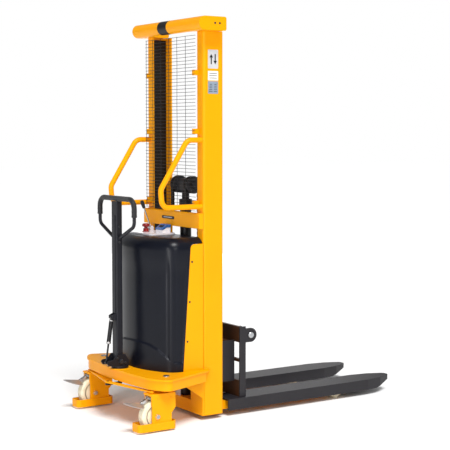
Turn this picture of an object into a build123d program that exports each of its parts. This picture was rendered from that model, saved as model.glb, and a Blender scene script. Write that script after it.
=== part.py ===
from build123d import *
import os
from math import atan2, cos, hypot, sin

# Semi-electric walkie stacker: a fixed two-column mast with a chain-driven fork carriage, two straddled
# support legs, a powered lift unit under a hood, and a steered pair of rear wheels turned by a tiller.
# Millimetres. x runs forward from the rear faces of the mast columns towards the fork tips, y to the
# left, z up from the floor. save() moves everything so that the origin is under the middle of the part.

# ---- driving dimensions -------------------------------------------------------------------------
RUN = 0.05                      # radial clearance of a shaft in its hole
GAP = 0.3                       # gap between parts that pass each other closely

# mast
COLUMN_DEPTH = 122.0            # along x
COLUMN_WIDTH = 60.0             # along y
COLUMN_WALL = 8.0
COLUMN_OUTER_Y = 287.0
COLUMN_BOTTOM = 25.0
COLUMN_TOP = 2009.0
COLUMN_CORNER = 14.0
TOP_TUBE_R = 35.5
TOP_TUBE_X = -25.5
TOP_HALF_WIDTH = 344.0
TOP_CAP_FRONT = 103.0
CROSSBEAM_Z = (1000.0, 1080.0)
CROSSBEAM_THICK = 27.0
CROSSBEAM_HALF = 284.0
COLUMN_INNER_Y = COLUMN_OUTER_Y - COLUMN_WIDTH

# guard mesh and handles
MESH_X = -32.0
MESH_WIRE = 3.0
MESH_HALF = 249.0
MESH_END_GAP = 10.0             # above the crossbeam
MESH_TOP_GAP = 19.0             # below the top tube
MESH_ROWS = 50
MESH_COLUMNS = 6
CLIP_INSETS = (40.0, 410.0)     # two lower clips, up from the bottom of the mesh
CLIP_TOP_INSET = 190.0          # the upper clip, down from the top of the mesh
HANDLE_R = 14.0
HANDLE_Y = 265.0
HANDLE_TOP = 1456.0
HANDLE_BOTTOM = 1114.0
HANDLE_SHOULDER_X = -84.0
HANDLE_BACK_X = -242.0
HANDLE_BACK_Z = 1186.0

# lift cylinder, crosshead and chains
CYLINDER_X = 68.0
BARREL_R = 30.0
BARREL_BORE = 24.0
BARREL_TOP = 1100.0
GLAND_R = 35.0
GLAND_HEIGHT = 40.0
ROD_R = 20.0
ROD_BOTTOM = 330.0
CHAIN_WHEEL_Z = 1217.0
CHAIN_WHEEL_Y = 66.0
CHAIN_WHEEL_WIDTH = 38.0
CHAIN_WHEEL_TREAD = 36.0
CHAIN_WHEEL_R = 46.0
CHAIN_THICK = 9.4
CHAIN_WIDTH = 26.0
CROSSHEAD_AXLE_R = 12.0
CHAIN_R = CHAIN_WHEEL_TREAD + GAP + CHAIN_THICK / 2
CHAIN_ANCHOR_Z = 1094.0

# base
PLATE_TOP = 270.0
PLATE_THICK = 10.0
SKIRT_BOTTOM = 212.0
SKIRT_INSET = 6.0
SKIRT_THICK = 6.0
PLATE_REAR_X = -382.0
PLATE_HALF = 430.0
PLATE_FRONT_HALF = 325.0
PLATE_EAR = 30.0                # the plate runs on this far beside each column
CROSS_PLATE_THICK = 8.0
FOOT_Z = (30.0, 80.0)
FOOT_WALL = 6.0
LEG_Y = 201.0
LEG_WIDTH = 90.0
LEG_WALL = 8.0
LEG_Z = (34.0, 80.0)
LEG_NOSE = 12.0
LOAD_ROLLER_X = 916.0
LOAD_ROLLER_R = 37.0
LOAD_ROLLER_WIDTH = 70.0
LOAD_AXLE_R = 8.0

# hood and body
HOOD_TOP = 955.0
HOOD_HALF = 285.0
HOOD_REAR_X = -277.0
HOOD_SHOULDER_X = -222.0        # the rear face bows forward to here at HOOD_SHOULDER_Y
HOOD_SHOULDER_Y = 220.0
HOOD_CORNER = 84.0
HOOD_WALL = 5.0
HOOD_TOP_ROUND = 34.0
HOOD_SEAM_LOW_X = -122.0
HOOD_SEAM_TOP_X = -76.0
PANEL_TOP = 924.0
PANEL_THICK = 5.0
PANEL_CORNER = 26.0
PANEL_GAP = 3.0                 # open joint between a side panel and its column
SCREW_HEIGHTS = (424.0, 628.0, 834.0)
SCREW_INSET = 13.0
DECK_X = (-168.0, -8.0)
DECK_Y = (-95.0, 245.0)
DECK_THICK = 8.0
DECK_CORNER = 18.0
STOP_X, STOP_Y = -103.0, 130.0
STOP_STEM_R = 12.0
STOP_TRAVEL = 6.0
GAUGE_X, GAUGE_Y = -62.0, 18.0
LEVER_X, LEVER_Y = -36.0, 195.0
LEVER_LEAN = 21.0               # degrees towards the rear
LEVER_PIN_R = 5.0
LEVER_ROD_R = 4.0
LEVER_GRIP_R = 11.0
LEVER_LENGTH = 158.0            # from its pin to the end of the grip
LEVER_GRIP_LENGTH = 42.0

# fork carriage
LIFT = 1500.0
FORK_X = 157.7
FORK_LENGTH = 1154.8
FORK_WIDTH = 160.0
FORK_Y = 201.7
FORK_TOP = 90.0
FORK_HEIGHT = 60.0
FORK_WALL = 8.0
HEEL_LENGTH = 200.0
CROSSBAR_X = 245.0
CROSSBAR_THICK = 18.0
CROSSBAR_HALF = 250.0
CROSSBAR_Z = ((90.0, 178.0), (277.0, 293.0), (382.0, 466.0))
SIDE_PLATE_THICK = 8.0
SIDE_PLATE_FRONT = 283.0
LUG_R = 37.5
LUG_X, LUG_Z = 315.5, 417.0
LUG_PIN_R = 16.5
ROLLER_PLATE_Y = (196.0, 206.0)
ROLLER_PLATE_Z = (100.0, 500.0)
ROLLER_PLATE_REAR = 38.0
MAST_ROLLER_R = 52.0
MAST_ROLLER_Y = (232.0, 272.0)
MAST_ROLLER_Z = (160.0, 400.0)
STUB_R = 15.0

# rear casters
KINGPIN_X, KINGPIN_Y = -267.0, 336.0
KINGPIN_R = 12.0
HOUSING_R = 28.0
HOUSING_BOTTOM = 206.0
CASTER_TRAIL = 60.0
WHEEL_R = 80.0
WHEEL_WIDTH = 50.0
WHEEL_AXLE_R = 10.0
BRACKET_HALF = 36.0
BRACKET_WALL = 8.0
BRACKET_TOP = 194.0
BRACKET_REAR, BRACKET_FRONT = -100.0, 44.0
GUARD_HALF_LENGTH = 110.0
GUARD_Z = (10.0, 50.0)
GUARD_THICK = 6.0
GUARD_CORNER = 22.0
LINK_ARM = 72.0
LINK_Z = (197.0, 205.0)
LINK_WIDTH = 20.0
LINK_PIN_R = 6.0
LINK_HOLE_R = 6.4
PEDAL_PIVOT = (-86.0, 172.0)    # x from the kingpin, z
PEDAL_PIN_R = 5.0
PEDAL_FRONT = (-128.0, 141.0)
PEDAL_TIP = (-235.0, 160.0)
PEDAL_WIDTH = 62.0
PEDAL_TIP_WIDTH = 14.0
PEDAL_THICK = 4.0

# tiller
TURRET_X = -337.0
TURRET_DISC_R = 45.0
TURRET_DISC_Z = (272.0, 284.0)
TURRET_SHAFT_R = 11.0
TURRET_HOUSING_R = 32.0
EAR_THICK = 8.0
EAR_GAP = 28.0                  # half the space between the ears
EAR_TOP = 345.0
TILT_X, TILT_Z = -350.0, 308.0
TILT_PIN_R = 8.0
POLE_DEPTH = 35.0
POLE_WIDTH = 55.0
POLE_WALL = 4.0
POLE_BOTTOM = 296.0
LOOP_HALF = 185.0
LOOP_TOP = 1155.0
LOOP_SHOULDER = 1020.0
LOOP_R = 9.0
LOOP_CORNER = 48.0
GRIP_R = 14.5
GRIP_BOTTOM = 1065.0
LOOP_FOOT = 944.0               # where the loop's legs meet the pole
SPRING_TOP = (-384.0, 540.0)
SPRING_FOOT = (-418.0, 305.0)
SPRING_BARREL_R = 11.0
SPRING_ROD_R = 5.0
SPRING_EYE_R = 8.0

# ---- sizes that follow from the ones above ------------------------------------------------------
PEDAL_REAR = KINGPIN_X + PEDAL_TIP[0]
FORK_FRONT = FORK_X + FORK_LENGTH
MIDDLE_X = (PEDAL_REAR + FORK_FRONT) / 2
LINK_BOW = KINGPIN_X - TURRET_X
SIDES = (("left", 1), ("right", -1))
MESH_Z = (CROSSBEAM_Z[1] + MESH_END_GAP, COLUMN_TOP - MESH_TOP_GAP)
CLIP_HEIGHTS = tuple(MESH_Z[0] + inset for inset in CLIP_INSETS) + (MESH_Z[1] - CLIP_TOP_INSET,)
POLE_Z = (POLE_BOTTOM, LOOP_TOP - GRIP_R - 0.1)
SPRING_LENGTH = hypot(SPRING_FOOT[0] - SPRING_TOP[0], SPRING_FOOT[1] - SPRING_TOP[1])
SPRING_BARREL_END = 140.0

# ---- helpers ------------------------------------------------------------------------------------


def block(x, y, z):
    """A box from three (low, high) pairs."""
    size = [high - low for low, high in (x, y, z)]
    middle = [(low + high) / 2 for low, high in (x, y, z)]
    return Pos(*middle) * Box(*size)


def rod_y(x, y, z, radius):
    """A round bar along y, from y[0] to y[1]."""
    return Pos(x, (y[0] + y[1]) / 2, z) * Rot(90, 0, 0) * Cylinder(radius, abs(y[1] - y[0]))


def rod_z(x, y, z, radius):
    """A round bar along z, from z[0] to z[1]."""
    return Pos(x, y, (z[0] + z[1]) / 2) * Cylinder(radius, z[1] - z[0])


def plate_xz(points, y):
    """A flat plate with an outline of (x, z) points, from y[0] to y[1]."""
    outline = Polyline(*[(px, y[0], pz) for px, pz in points], close=True)
    return extrude(make_face(outline), amount=abs(y[1] - y[0]), dir=(0, 1 if y[1] > y[0] else -1, 0))


def plate_xy(points, z):
    """A flat plate with an outline of (x, y) points, from z[0] to z[1]."""
    outline = Polyline(*[(px, py, z[0]) for px, py in points], close=True)
    return extrude(make_face(outline), amount=z[1] - z[0], dir=(0, 0, 1))


def tube_along(path, radius, hole=0.0):
    """A round bar or tube swept along a path."""
    section = Circle(radius) - Circle(hole) if hole else Circle(radius)
    return sweep(Plane(origin=path @ 0, z_dir=path % 0) * section, path=path)


def other_side(shape):
    """The same piece on the right-hand side."""
    return shape.mirror(Plane.XZ)


def sided(shape, side):
    """A left-hand piece, put on the side asked for (1 left, -1 right)."""
    return shape if side > 0 else other_side(shape)


def both(shape):
    """A left-hand piece and its twin on the right."""
    return [shape, other_side(shape)]


def hex_head(x, y, z, across, height, direction):
    """A hexagon bolt head standing on a face, pointing along a unit direction."""
    plane = Plane(origin=(x, y, z), z_dir=direction)
    return extrude(plane * RegularPolygon(across / 2, 6, major_radius=False), amount=height)


def save(name, *pieces):
    """Write one node's solids, moved to the part's own origin."""
    solids = []
    for piece in pieces:
        solids += piece.solids()
    moved = [Pos(-MIDDLE_X, 0, 0) * solid for solid in solids]
    export_step(moved[0] if len(moved) == 1 else Compound(children=moved), f"parts/{name}.step")


# ---- mast ---------------------------------------------------------------------------------------


def mast_column():
    """The left column: a channel open towards the middle, with rounded outer corners."""
    z = (COLUMN_BOTTOM, COLUMN_TOP)
    body = block((0, COLUMN_DEPTH), (COLUMN_INNER_Y, COLUMN_OUTER_Y), z)
    outer = body.edges().filter_by(Axis.Z).group_by(Axis.Y)[-1]
    body = fillet(outer, COLUMN_CORNER)
    inside = block(
        (COLUMN_WALL, COLUMN_DEPTH - COLUMN_WALL),
        (COLUMN_INNER_Y - 1, COLUMN_OUTER_Y - COLUMN_WALL),
        (COLUMN_BOTTOM - 1, COLUMN_TOP + 1),
    )
    return body - inside


def top_tube():
    """The round tube across the top, closed by its own thick wall at both ends."""
    centre_z = COLUMN_TOP + TOP_TUBE_R
    return rod_y(TOP_TUBE_X, (-TOP_HALF_WIDTH, TOP_HALF_WIDTH), centre_z, TOP_TUBE_R)


def top_caps():
    """Boxes over the column ends, from the tube forward, each with two cap bolts on its side."""
    centre_z = COLUMN_TOP + TOP_TUBE_R
    cap = block(
        (TOP_TUBE_X, TOP_CAP_FRONT),
        (COLUMN_INNER_Y, TOP_HALF_WIDTH),
        (COLUMN_TOP, COLUMN_TOP + 2 * TOP_TUBE_R),
    )
    cap = cap - rod_y(TOP_TUBE_X, (0, TOP_HALF_WIDTH + 1), centre_z, TOP_TUBE_R)
    front = cap.edges().filter_by(Axis.Y).group_by(Axis.X)[-1]
    return both(fillet(front, 10))


def crossbeam():
    """The middle crossbeam on the rear faces of the columns."""
    beam = block((-CROSSBEAM_THICK, 0), (-CROSSBEAM_HALF, CROSSBEAM_HALF), CROSSBEAM_Z)
    return fillet(beam.edges().filter_by(Axis.Y).group_by(Axis.X)[0], 5)


def crossbeam_fittings():
    """Chain anchors and the clamp that holds the cylinder to the crossbeam."""
    lug = block(
        (0, CYLINDER_X - CHAIN_R + 14),
        (CHAIN_WHEEL_Y - CHAIN_WIDTH / 2 - 3, CHAIN_WHEEL_Y + CHAIN_WIDTH / 2 + 3),
        (CROSSBEAM_Z[1] - 20, CROSSBEAM_Z[1] - 8),
    )
    stud = rod_z(CYLINDER_X - CHAIN_R, CHAIN_WHEEL_Y, (CROSSBEAM_Z[1] - 40, CROSSBEAM_Z[1]), 6)
    shoe = block(
        (CYLINDER_X - CHAIN_R - 7, CYLINDER_X - CHAIN_R + 7),
        (CHAIN_WHEEL_Y - CHAIN_WIDTH / 2, CHAIN_WHEEL_Y + CHAIN_WIDTH / 2),
        (CROSSBEAM_Z[1], CHAIN_ANCHOR_Z),
    )
    nut = hex_head(CYLINDER_X - CHAIN_R, CHAIN_WHEEL_Y, CROSSBEAM_Z[1] - 20, 20, 9, (0, 0, -1))
    anchor = lug + stud + shoe + nut
    clamp = block((0, CYLINDER_X), (-BARREL_R - 8, BARREL_R + 8), (CROSSBEAM_Z[0] + 4, CROSSBEAM_Z[0] + 44))
    clamp = clamp + rod_z(CYLINDER_X, 0, (CROSSBEAM_Z[0] + 4, CROSSBEAM_Z[0] + 44), BARREL_R + 8)
    clamp = clamp - rod_z(CYLINDER_X, 0, (CROSSBEAM_Z[0], CROSSBEAM_Z[0] + 60), BARREL_R + 0.1)
    return both(anchor) + [clamp]


def grab_handle():
    """The left handle: a bent tube from the column back and down, and round to the column again."""
    path = FilletPolyline(
        (0, HANDLE_Y, HANDLE_TOP),
        (HANDLE_SHOULDER_X, HANDLE_Y, HANDLE_TOP),
        (HANDLE_BACK_X, HANDLE_Y, HANDLE_BACK_Z + 20),
        (HANDLE_BACK_X + 8, HANDLE_Y, HANDLE_BOTTOM),
        (0, HANDLE_Y, HANDLE_BOTTOM),
        radius=[50, 46, 42],
    )
    return tube_along(path, HANDLE_R)


def guard_mesh():
    """The wire guard between the columns as one flat grid."""
    low, high = MESH_Z
    rows = [low + (high - low) * i / MESH_ROWS for i in range(MESH_ROWS + 1)]
    columns = [-MESH_HALF + 2 * MESH_HALF * i / MESH_COLUMNS for i in range(MESH_COLUMNS + 1)]
    half = MESH_WIRE / 2

    def outline(y, z):
        corners = [(y[0], z[0]), (y[1], z[0]), (y[1], z[1]), (y[0], z[1])]
        points = [(MESH_X + half, cy, cz) for cy, cz in corners]
        return Wire(Polyline(*points, close=True).edges())

    holes = [
        outline((y0 + half, y1 - half), (z0 + half, z1 - half))
        for y0, y1 in zip(columns, columns[1:])
        for z0, z1 in zip(rows, rows[1:])
    ]
    frame = outline((-MESH_HALF - half, MESH_HALF + half), (low - half, high + half))
    return extrude(Face(frame, holes), amount=MESH_WIRE, dir=(-1, 0, 0))


def guard_clips():
    """Tabs that stand off the column's rear face and hook over the mesh."""
    clips = []
    for z in CLIP_HEIGHTS:
        tab = block((MESH_X + MESH_WIRE / 2, 0), (MESH_HALF - 24, MESH_HALF - 6), (z - 14, z + 14))
        clips += both(tab)
    return clips


# ---- cylinder and crosshead ---------------------------------------------------------------------


def cylinder_barrel():
    """The lift cylinder's barrel on the foot member, with its gland on top."""
    base = 15.0
    gland_top = BARREL_TOP + GLAND_HEIGHT
    barrel = rod_z(CYLINDER_X, 0, (FOOT_Z[1], BARREL_TOP), BARREL_R)
    gland = rod_z(CYLINDER_X, 0, (BARREL_TOP, gland_top), GLAND_R)
    gland = chamfer(gland.edges().group_by(Axis.Z)[-1], 4)
    bore = rod_z(CYLINDER_X, 0, (FOOT_Z[1] + base, BARREL_TOP + GAP), BARREL_BORE)
    throat = rod_z(CYLINDER_X, 0, (BARREL_TOP, gland_top + 1), ROD_R + RUN)
    return barrel + gland - bore - throat


def piston_rod():
    """The rod with its piston, up to the crosshead."""
    rod = rod_z(CYLINDER_X, 0, (ROD_BOTTOM, CHAIN_WHEEL_Z - 30), ROD_R)
    piston = rod_z(CYLINDER_X, 0, (ROD_BOTTOM - 22, ROD_BOTTOM), BARREL_BORE - RUN)
    return rod + piston


def crosshead():
    """The block on the rod that carries both chain wheels on one through axle."""
    top = CHAIN_WHEEL_Z + 34
    half_y = CHAIN_WHEEL_Y - CHAIN_WHEEL_WIDTH / 2 - 2
    body = block((CYLINDER_X - 26, CYLINDER_X + 26), (-half_y, half_y), (CHAIN_WHEEL_Z - 30, top))
    body = fillet(body.edges().filter_by(Axis.Y).group_by(Axis.Z)[-1], 18)
    reach = CHAIN_WHEEL_Y + CHAIN_WHEEL_WIDTH / 2 + 1
    axle = rod_y(CYLINDER_X, (-reach - 8, reach + 8), CHAIN_WHEEL_Z, CROSSHEAD_AXLE_R)
    washer = rod_y(CYLINDER_X, (reach, reach + 4), CHAIN_WHEEL_Z, CROSSHEAD_AXLE_R + 8)
    nut = hex_head(CYLINDER_X, reach + 4, CHAIN_WHEEL_Z, 32, 9, (0, 1, 0))
    ends = both(washer + nut)
    return body + axle + ends[0] + ends[1]


def chain_wheel():
    """The left chain wheel, a grooved roller on the crosshead's axle."""
    half = CHAIN_WHEEL_WIDTH / 2
    groove = CHAIN_WIDTH / 2 + 1
    wheel = rod_y(CYLINDER_X, (CHAIN_WHEEL_Y - half, CHAIN_WHEEL_Y + half), CHAIN_WHEEL_Z, CHAIN_WHEEL_R)
    ring = rod_y(CYLINDER_X, (CHAIN_WHEEL_Y - groove, CHAIN_WHEEL_Y + groove), CHAIN_WHEEL_Z, CHAIN_WHEEL_R + 5)
    core = rod_y(CYLINDER_X, (CHAIN_WHEEL_Y - groove, CHAIN_WHEEL_Y + groove), CHAIN_WHEEL_Z, CHAIN_WHEEL_TREAD)
    bore = rod_y(CYLINDER_X, (0, 2 * CHAIN_WHEEL_Y), CHAIN_WHEEL_Z, CROSSHEAD_AXLE_R + RUN)
    return wheel - (ring - core) - bore


def chain_wrap():
    """The half turn of chain over the left chain wheel."""
    y = (CHAIN_WHEEL_Y - CHAIN_WIDTH / 2, CHAIN_WHEEL_Y + CHAIN_WIDTH / 2)
    outer = rod_y(CYLINDER_X, y, CHAIN_WHEEL_Z, CHAIN_R + CHAIN_THICK / 2)
    inner = rod_y(CYLINDER_X, (y[0] - 1, y[1] + 1), CHAIN_WHEEL_Z, CHAIN_R - CHAIN_THICK / 2)
    reach = CHAIN_WHEEL_R + 20
    lower = block(
        (CYLINDER_X - reach, CYLINDER_X + reach),
        (y[0] - 1, y[1] + 1),
        (CHAIN_WHEEL_Z - reach, CHAIN_WHEEL_Z),
    )
    return outer - inner - lower


def chain_strand(x, z):
    """A straight run of the left chain."""
    return block(
        (x - CHAIN_THICK / 2, x + CHAIN_THICK / 2),
        (CHAIN_WHEEL_Y - CHAIN_WIDTH / 2, CHAIN_WHEEL_Y + CHAIN_WIDTH / 2),
        z,
    )


# ---- base ---------------------------------------------------------------------------------------


def plate_outline(inset, z):
    """The base plate's outline, drawn in by an inset, as a face at height z."""
    corner_rear = (-322.0 + inset * 0.7, 400.0 - inset)
    widest = (-272.0 + inset * 0.3, PLATE_HALF - inset)
    rear = (PLATE_REAR_X + inset, 0.0)
    shoulder = (-367.0 + inset, 250.0)
    edges = [
        Line((0, PLATE_FRONT_HALF - inset), widest),
        Spline([widest, corner_rear, shoulder], tangents=[(-1, 0.25), (-0.06, -1)]),
        ThreePointArc(shoulder, rear, (shoulder[0], -shoulder[1])),
        Spline([(shoulder[0], -shoulder[1]), (corner_rear[0], -corner_rear[1]), (widest[0], -widest[1])],
               tangents=[(0.06, -1), (1, 0.25)]),
        Line((widest[0], -widest[1]), (0, -PLATE_FRONT_HALF + inset)),
        Line((0, -PLATE_FRONT_HALF + inset), (0, PLATE_FRONT_HALF - inset)),
    ]
    return Pos(0, 0, z) * make_face(edges)


def base_plate():
    """The rear deck plate with its skirt and the bearing housings under it."""
    bottom = PLATE_TOP - PLATE_THICK
    plate = extrude(plate_outline(0, bottom), amount=PLATE_THICK, dir=(0, 0, 1))
    skirt = extrude(plate_outline(SKIRT_INSET, SKIRT_BOTTOM), amount=bottom - SKIRT_BOTTOM, dir=(0, 0, 1))
    inside = extrude(
        plate_outline(SKIRT_INSET + SKIRT_THICK, SKIRT_BOTTOM - 1), amount=bottom - SKIRT_BOTTOM + 1, dir=(0, 0, 1)
    )
    front = block((-CROSS_PLATE_THICK, 1), (-PLATE_HALF, PLATE_HALF), (SKIRT_BOTTOM - 1, bottom))
    ear_points = [
        (0, COLUMN_OUTER_Y), (PLATE_EAR, COLUMN_OUTER_Y), (PLATE_EAR, COLUMN_OUTER_Y + 8), (0, PLATE_FRONT_HALF),
    ]
    ears = both(plate_xy(ear_points, (bottom, PLATE_TOP)))
    body = plate + ears[0] + ears[1] + (skirt - inside - front)
    for _, side in SIDES:
        body = body + rod_z(KINGPIN_X, side * KINGPIN_Y, (HOUSING_BOTTOM, bottom), HOUSING_R)
    body = body + rod_z(TURRET_X, 0, (HOUSING_BOTTOM, PLATE_TOP + 1.7), TURRET_HOUSING_R)
    for _, side in SIDES:
        body = body - rod_z(KINGPIN_X, side * KINGPIN_Y, (HOUSING_BOTTOM - 1, bottom + 1), KINGPIN_R + RUN)
    return body - rod_z(TURRET_X, 0, (HOUSING_BOTTOM - 1, PLATE_TOP + 5), TURRET_SHAFT_R + RUN)


def lower_frame():
    """The cross plate under the base plate, the foot member and the two gussets."""
    bottom = PLATE_TOP - PLATE_THICK
    cross = block((-CROSS_PLATE_THICK, 0), (-COLUMN_OUTER_Y, COLUMN_OUTER_Y), (COLUMN_BOTTOM, bottom))
    cross = cross - block((-CROSS_PLATE_THICK - 1, 1), (-170, 170), (FOOT_Z[1] + 10, 200))
    foot = block((0, COLUMN_DEPTH), (-COLUMN_INNER_Y, COLUMN_INNER_Y), FOOT_Z)
    inner = (FOOT_Z[0] - 1, FOOT_Z[1] - FOOT_WALL)
    foot = foot - block((FOOT_WALL, COLUMN_DEPTH - FOOT_WALL), (-COLUMN_INNER_Y + 8, COLUMN_INNER_Y - 8), inner)
    gusset = plate_xz(
        [(-CROSS_PLATE_THICK, bottom), (-150, bottom), (-150, SKIRT_BOTTOM + 6), (-CROSS_PLATE_THICK, 120)],
        (COLUMN_OUTER_Y - 8, COLUMN_OUTER_Y),
    )
    return [cross, foot] + both(gusset)


def support_leg():
    """The left leg: an upside-down channel that ends in a fork round the load roller."""
    start = COLUMN_DEPTH
    slot = LOAD_ROLLER_R + 5
    end = LOAD_ROLLER_X + slot + LEG_NOSE
    half = LEG_WIDTH / 2
    leg = block((start, end), (LEG_Y - half, LEG_Y + half), LEG_Z)
    leg = fillet(leg.edges().filter_by(Axis.Z).group_by(Axis.X)[-1], 10)
    inner = (LEG_Y - half + LEG_WALL, LEG_Y + half - LEG_WALL)
    leg = leg - block((start + LEG_WALL, LOAD_ROLLER_X - slot - 6), inner, (LEG_Z[0] - 1, LEG_Z[1] - LEG_WALL))
    roller_gap = (LEG_Y - LOAD_ROLLER_WIDTH / 2 - 1, LEG_Y + LOAD_ROLLER_WIDTH / 2 + 1)
    leg = leg - block((LOAD_ROLLER_X - slot, LOAD_ROLLER_X + slot), roller_gap, (LEG_Z[0] - 1, LEG_Z[1] + 1))
    axle = rod_y(LOAD_ROLLER_X, (LEG_Y - half, LEG_Y + half), LOAD_ROLLER_R, LOAD_AXLE_R)
    return leg + axle


def load_roller():
    """The left load roller under the end of the leg."""
    half = LOAD_ROLLER_WIDTH / 2
    roller = rod_y(LOAD_ROLLER_X, (LEG_Y - half, LEG_Y + half), LOAD_ROLLER_R, LOAD_ROLLER_R)
    roller = chamfer(roller.edges(), 3)
    return roller - rod_y(LOAD_ROLLER_X, (LEG_Y - half - 1, LEG_Y + half + 1), LOAD_ROLLER_R, LOAD_AXLE_R + RUN)


# ---- hood and body ------------------------------------------------------------------------------


def hood_block(inset, z):
    """The hood's plan shape, drawn in by an inset, as a block over a height range."""
    half = HOOD_HALF - inset
    rise = HOOD_SHOULDER_X - HOOD_REAR_X
    bow = (HOOD_SHOULDER_Y ** 2 + rise ** 2) / (2 * rise) - inset
    centre = HOOD_REAR_X + inset + bow
    corner_x = centre - (bow ** 2 - half ** 2) ** 0.5
    edges = [
        Line((0, half), (corner_x, half)),
        ThreePointArc((corner_x, half), (HOOD_REAR_X + inset, 0), (corner_x, -half)),
        Line((corner_x, -half), (0, -half)),
        Line((0, -half), (0, half)),
    ]
    shape = extrude(Pos(0, 0, z[0]) * make_face(edges), amount=z[1] - z[0], dir=(0, 0, 1))
    corners = [e for e in shape.edges().filter_by(Axis.Z) if e.center().X < -1]
    return fillet(corners, HOOD_CORNER - inset)


def seam_x(z):
    """Where the sloping seam between the hood and a side panel lies at a height."""
    slope = (HOOD_SEAM_TOP_X - HOOD_SEAM_LOW_X) / (PANEL_TOP - PLATE_TOP)
    return HOOD_SEAM_LOW_X + slope * (z - PLATE_TOP)


def seam_wedge(grow):
    """The space of the side panels: in front of the seam and below their top, made larger all round."""
    low, high = PLATE_TOP - 10, PANEL_TOP + grow
    wedge = plate_xz(
        [(seam_x(low) - grow, low), (200, low), (200, high), (seam_x(high) - grow, high)], (-600, 600)
    )
    corner = wedge.edges().filter_by(Axis.Y).group_by(Axis.Z)[-1].sort_by(Axis.X)[0]
    return fillet(corner, PANEL_CORNER)


def hood_cover():
    """The moulded hood: a thin shell, open towards the mast and at the bottom."""
    outer = hood_block(0, (PLATE_TOP, HOOD_TOP))
    top_edges = [e for e in outer.edges().group_by(Axis.Z)[-1] if e.center().X < -1]
    outer = fillet(top_edges, HOOD_TOP_ROUND)
    inner = hood_block(HOOD_WALL, (PLATE_TOP - 1, HOOD_TOP - HOOD_WALL))
    inner_top = [e for e in inner.edges().group_by(Axis.Z)[-1] if e.center().X < -1]
    inner = fillet(inner_top, HOOD_TOP_ROUND - HOOD_WALL)
    front = block((-1, 1), (-HOOD_HALF - 1, HOOD_HALF + 1), (PLATE_TOP, HOOD_TOP + 1))
    return outer - inner - seam_wedge(1) - front


def side_panel():
    """The left steel panel between the hood and the column."""
    panel = block((-200, -PANEL_GAP), (HOOD_HALF - PANEL_THICK, HOOD_HALF), (PLATE_TOP, PANEL_TOP + 5))
    return panel & seam_wedge(0)


def control_deck():
    """The light deck on the hood's top that carries the controls."""
    deck = block(DECK_X, DECK_Y, (HOOD_TOP, deck_top()))
    deck = fillet(deck.edges().filter_by(Axis.Z), DECK_CORNER)
    return chamfer(deck.edges().group_by(Axis.Z)[-1], 2)


def battery():
    """The battery box on the base plate."""
    box = block((-215, -95), (-175, 90), (PLATE_TOP, 500))
    lid = block((-215, -95), (-175, 90), (500, 512))
    posts = [rod_z(-185, y, (512, 530), 9) for y in (-150, 65)]
    return fillet(box.edges().filter_by(Axis.Z), 8) + fillet(lid.edges().filter_by(Axis.Z), 8) + posts[0] + posts[1]


def pump_motor():
    """The pump's motor with its valve block, standing on the base plate."""
    motor = rod_z(-150, 180, (340, 560), 52)
    valve = block((-205, -95), (130, 230), (PLATE_TOP, 340))
    cap = rod_z(-150, 180, (560, 572), 40)
    return motor + valve + cap


def oil_tank():
    """The oil tank beside the mast, over the base plate."""
    tank = block((-80, -12), (-200, 30), (PLATE_TOP, 560))
    neck = rod_z(-46, -120, (560, 585), 20)
    return fillet(tank.edges().filter_by(Axis.Z), 10) + neck


def hydraulic_pipe():
    """The pressure pipe from the valve block to the foot of the cylinder."""
    path = FilletPolyline(
        (-95, 160, 310), (CYLINDER_X, 160, 310), (CYLINDER_X, BARREL_R, 310), radius=[60]
    )
    return tube_along(path, 7)


def body_screws():
    """Button-head screws down the rear edge of each side panel."""
    screws = []
    for z in SCREW_HEIGHTS:
        screws += both(rod_y(seam_x(z) + SCREW_INSET, (HOOD_HALF, HOOD_HALF + 2.5), z, 5))
    return screws


def deck_top():
    """Height of the control deck's top face."""
    return HOOD_TOP + DECK_THICK


def stop_base():
    """The square yellow base under the emergency stop button."""
    low = deck_top()
    base = block((STOP_X - 27, STOP_X + 27), (STOP_Y - 27, STOP_Y + 27), (low, low + 12))
    base = fillet(base.edges().filter_by(Axis.Z), 8)
    collar = rod_z(STOP_X, STOP_Y, (low + 12, low + 20), STOP_STEM_R + 8)
    return base + collar - rod_z(STOP_X, STOP_Y, (low + 3, low + 30), STOP_STEM_R + RUN)


def stop_button():
    """The red mushroom head on its stem."""
    low = deck_top()
    head_low = low + 20 + STOP_TRAVEL + 1
    stem = rod_z(STOP_X, STOP_Y, (low + 3 + STOP_TRAVEL + 1, head_low), STOP_STEM_R)
    head = rod_z(STOP_X, STOP_Y, (head_low, head_low + 18), 21)
    return fillet(head.edges().group_by(Axis.Z)[-1], 7) + stem


def battery_gauge():
    """The battery gauge's housing on the deck, with its top sloping towards the operator."""
    low = deck_top()
    x, y = GAUGE_X, GAUGE_Y
    side = [(x - 26, low), (x + 26, low), (x + 26, low + 46), (x + 6, low + 46), (x - 26, low + 24)]
    return fillet(plate_xz(side, (y - 36, y + 36)).edges().filter_by(Axis.X), 3)


def lever_axis_z():
    """Height of the lift lever's pivot above the floor."""
    return deck_top() + 16


def control_lever():
    """The lift lever: a thin rod leaning back from its cross pin, with a moulded grip."""
    hub = rod_y(0, (-9, 9), 0, LEVER_PIN_R + 4)
    grip_low = LEVER_LENGTH - LEVER_GRIP_LENGTH
    rod = rod_z(0, 0, (LEVER_PIN_R + 2, grip_low + 8), LEVER_ROD_R)
    grip = rod_z(0, 0, (grip_low, LEVER_LENGTH), LEVER_GRIP_R)
    lever = hub + rod + fillet(grip.edges(), 5) - rod_y(0, (-20, 20), 0, LEVER_PIN_R + RUN)
    return Pos(LEVER_X, LEVER_Y, lever_axis_z()) * Rot(0, -LEVER_LEAN, 0) * lever


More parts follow.
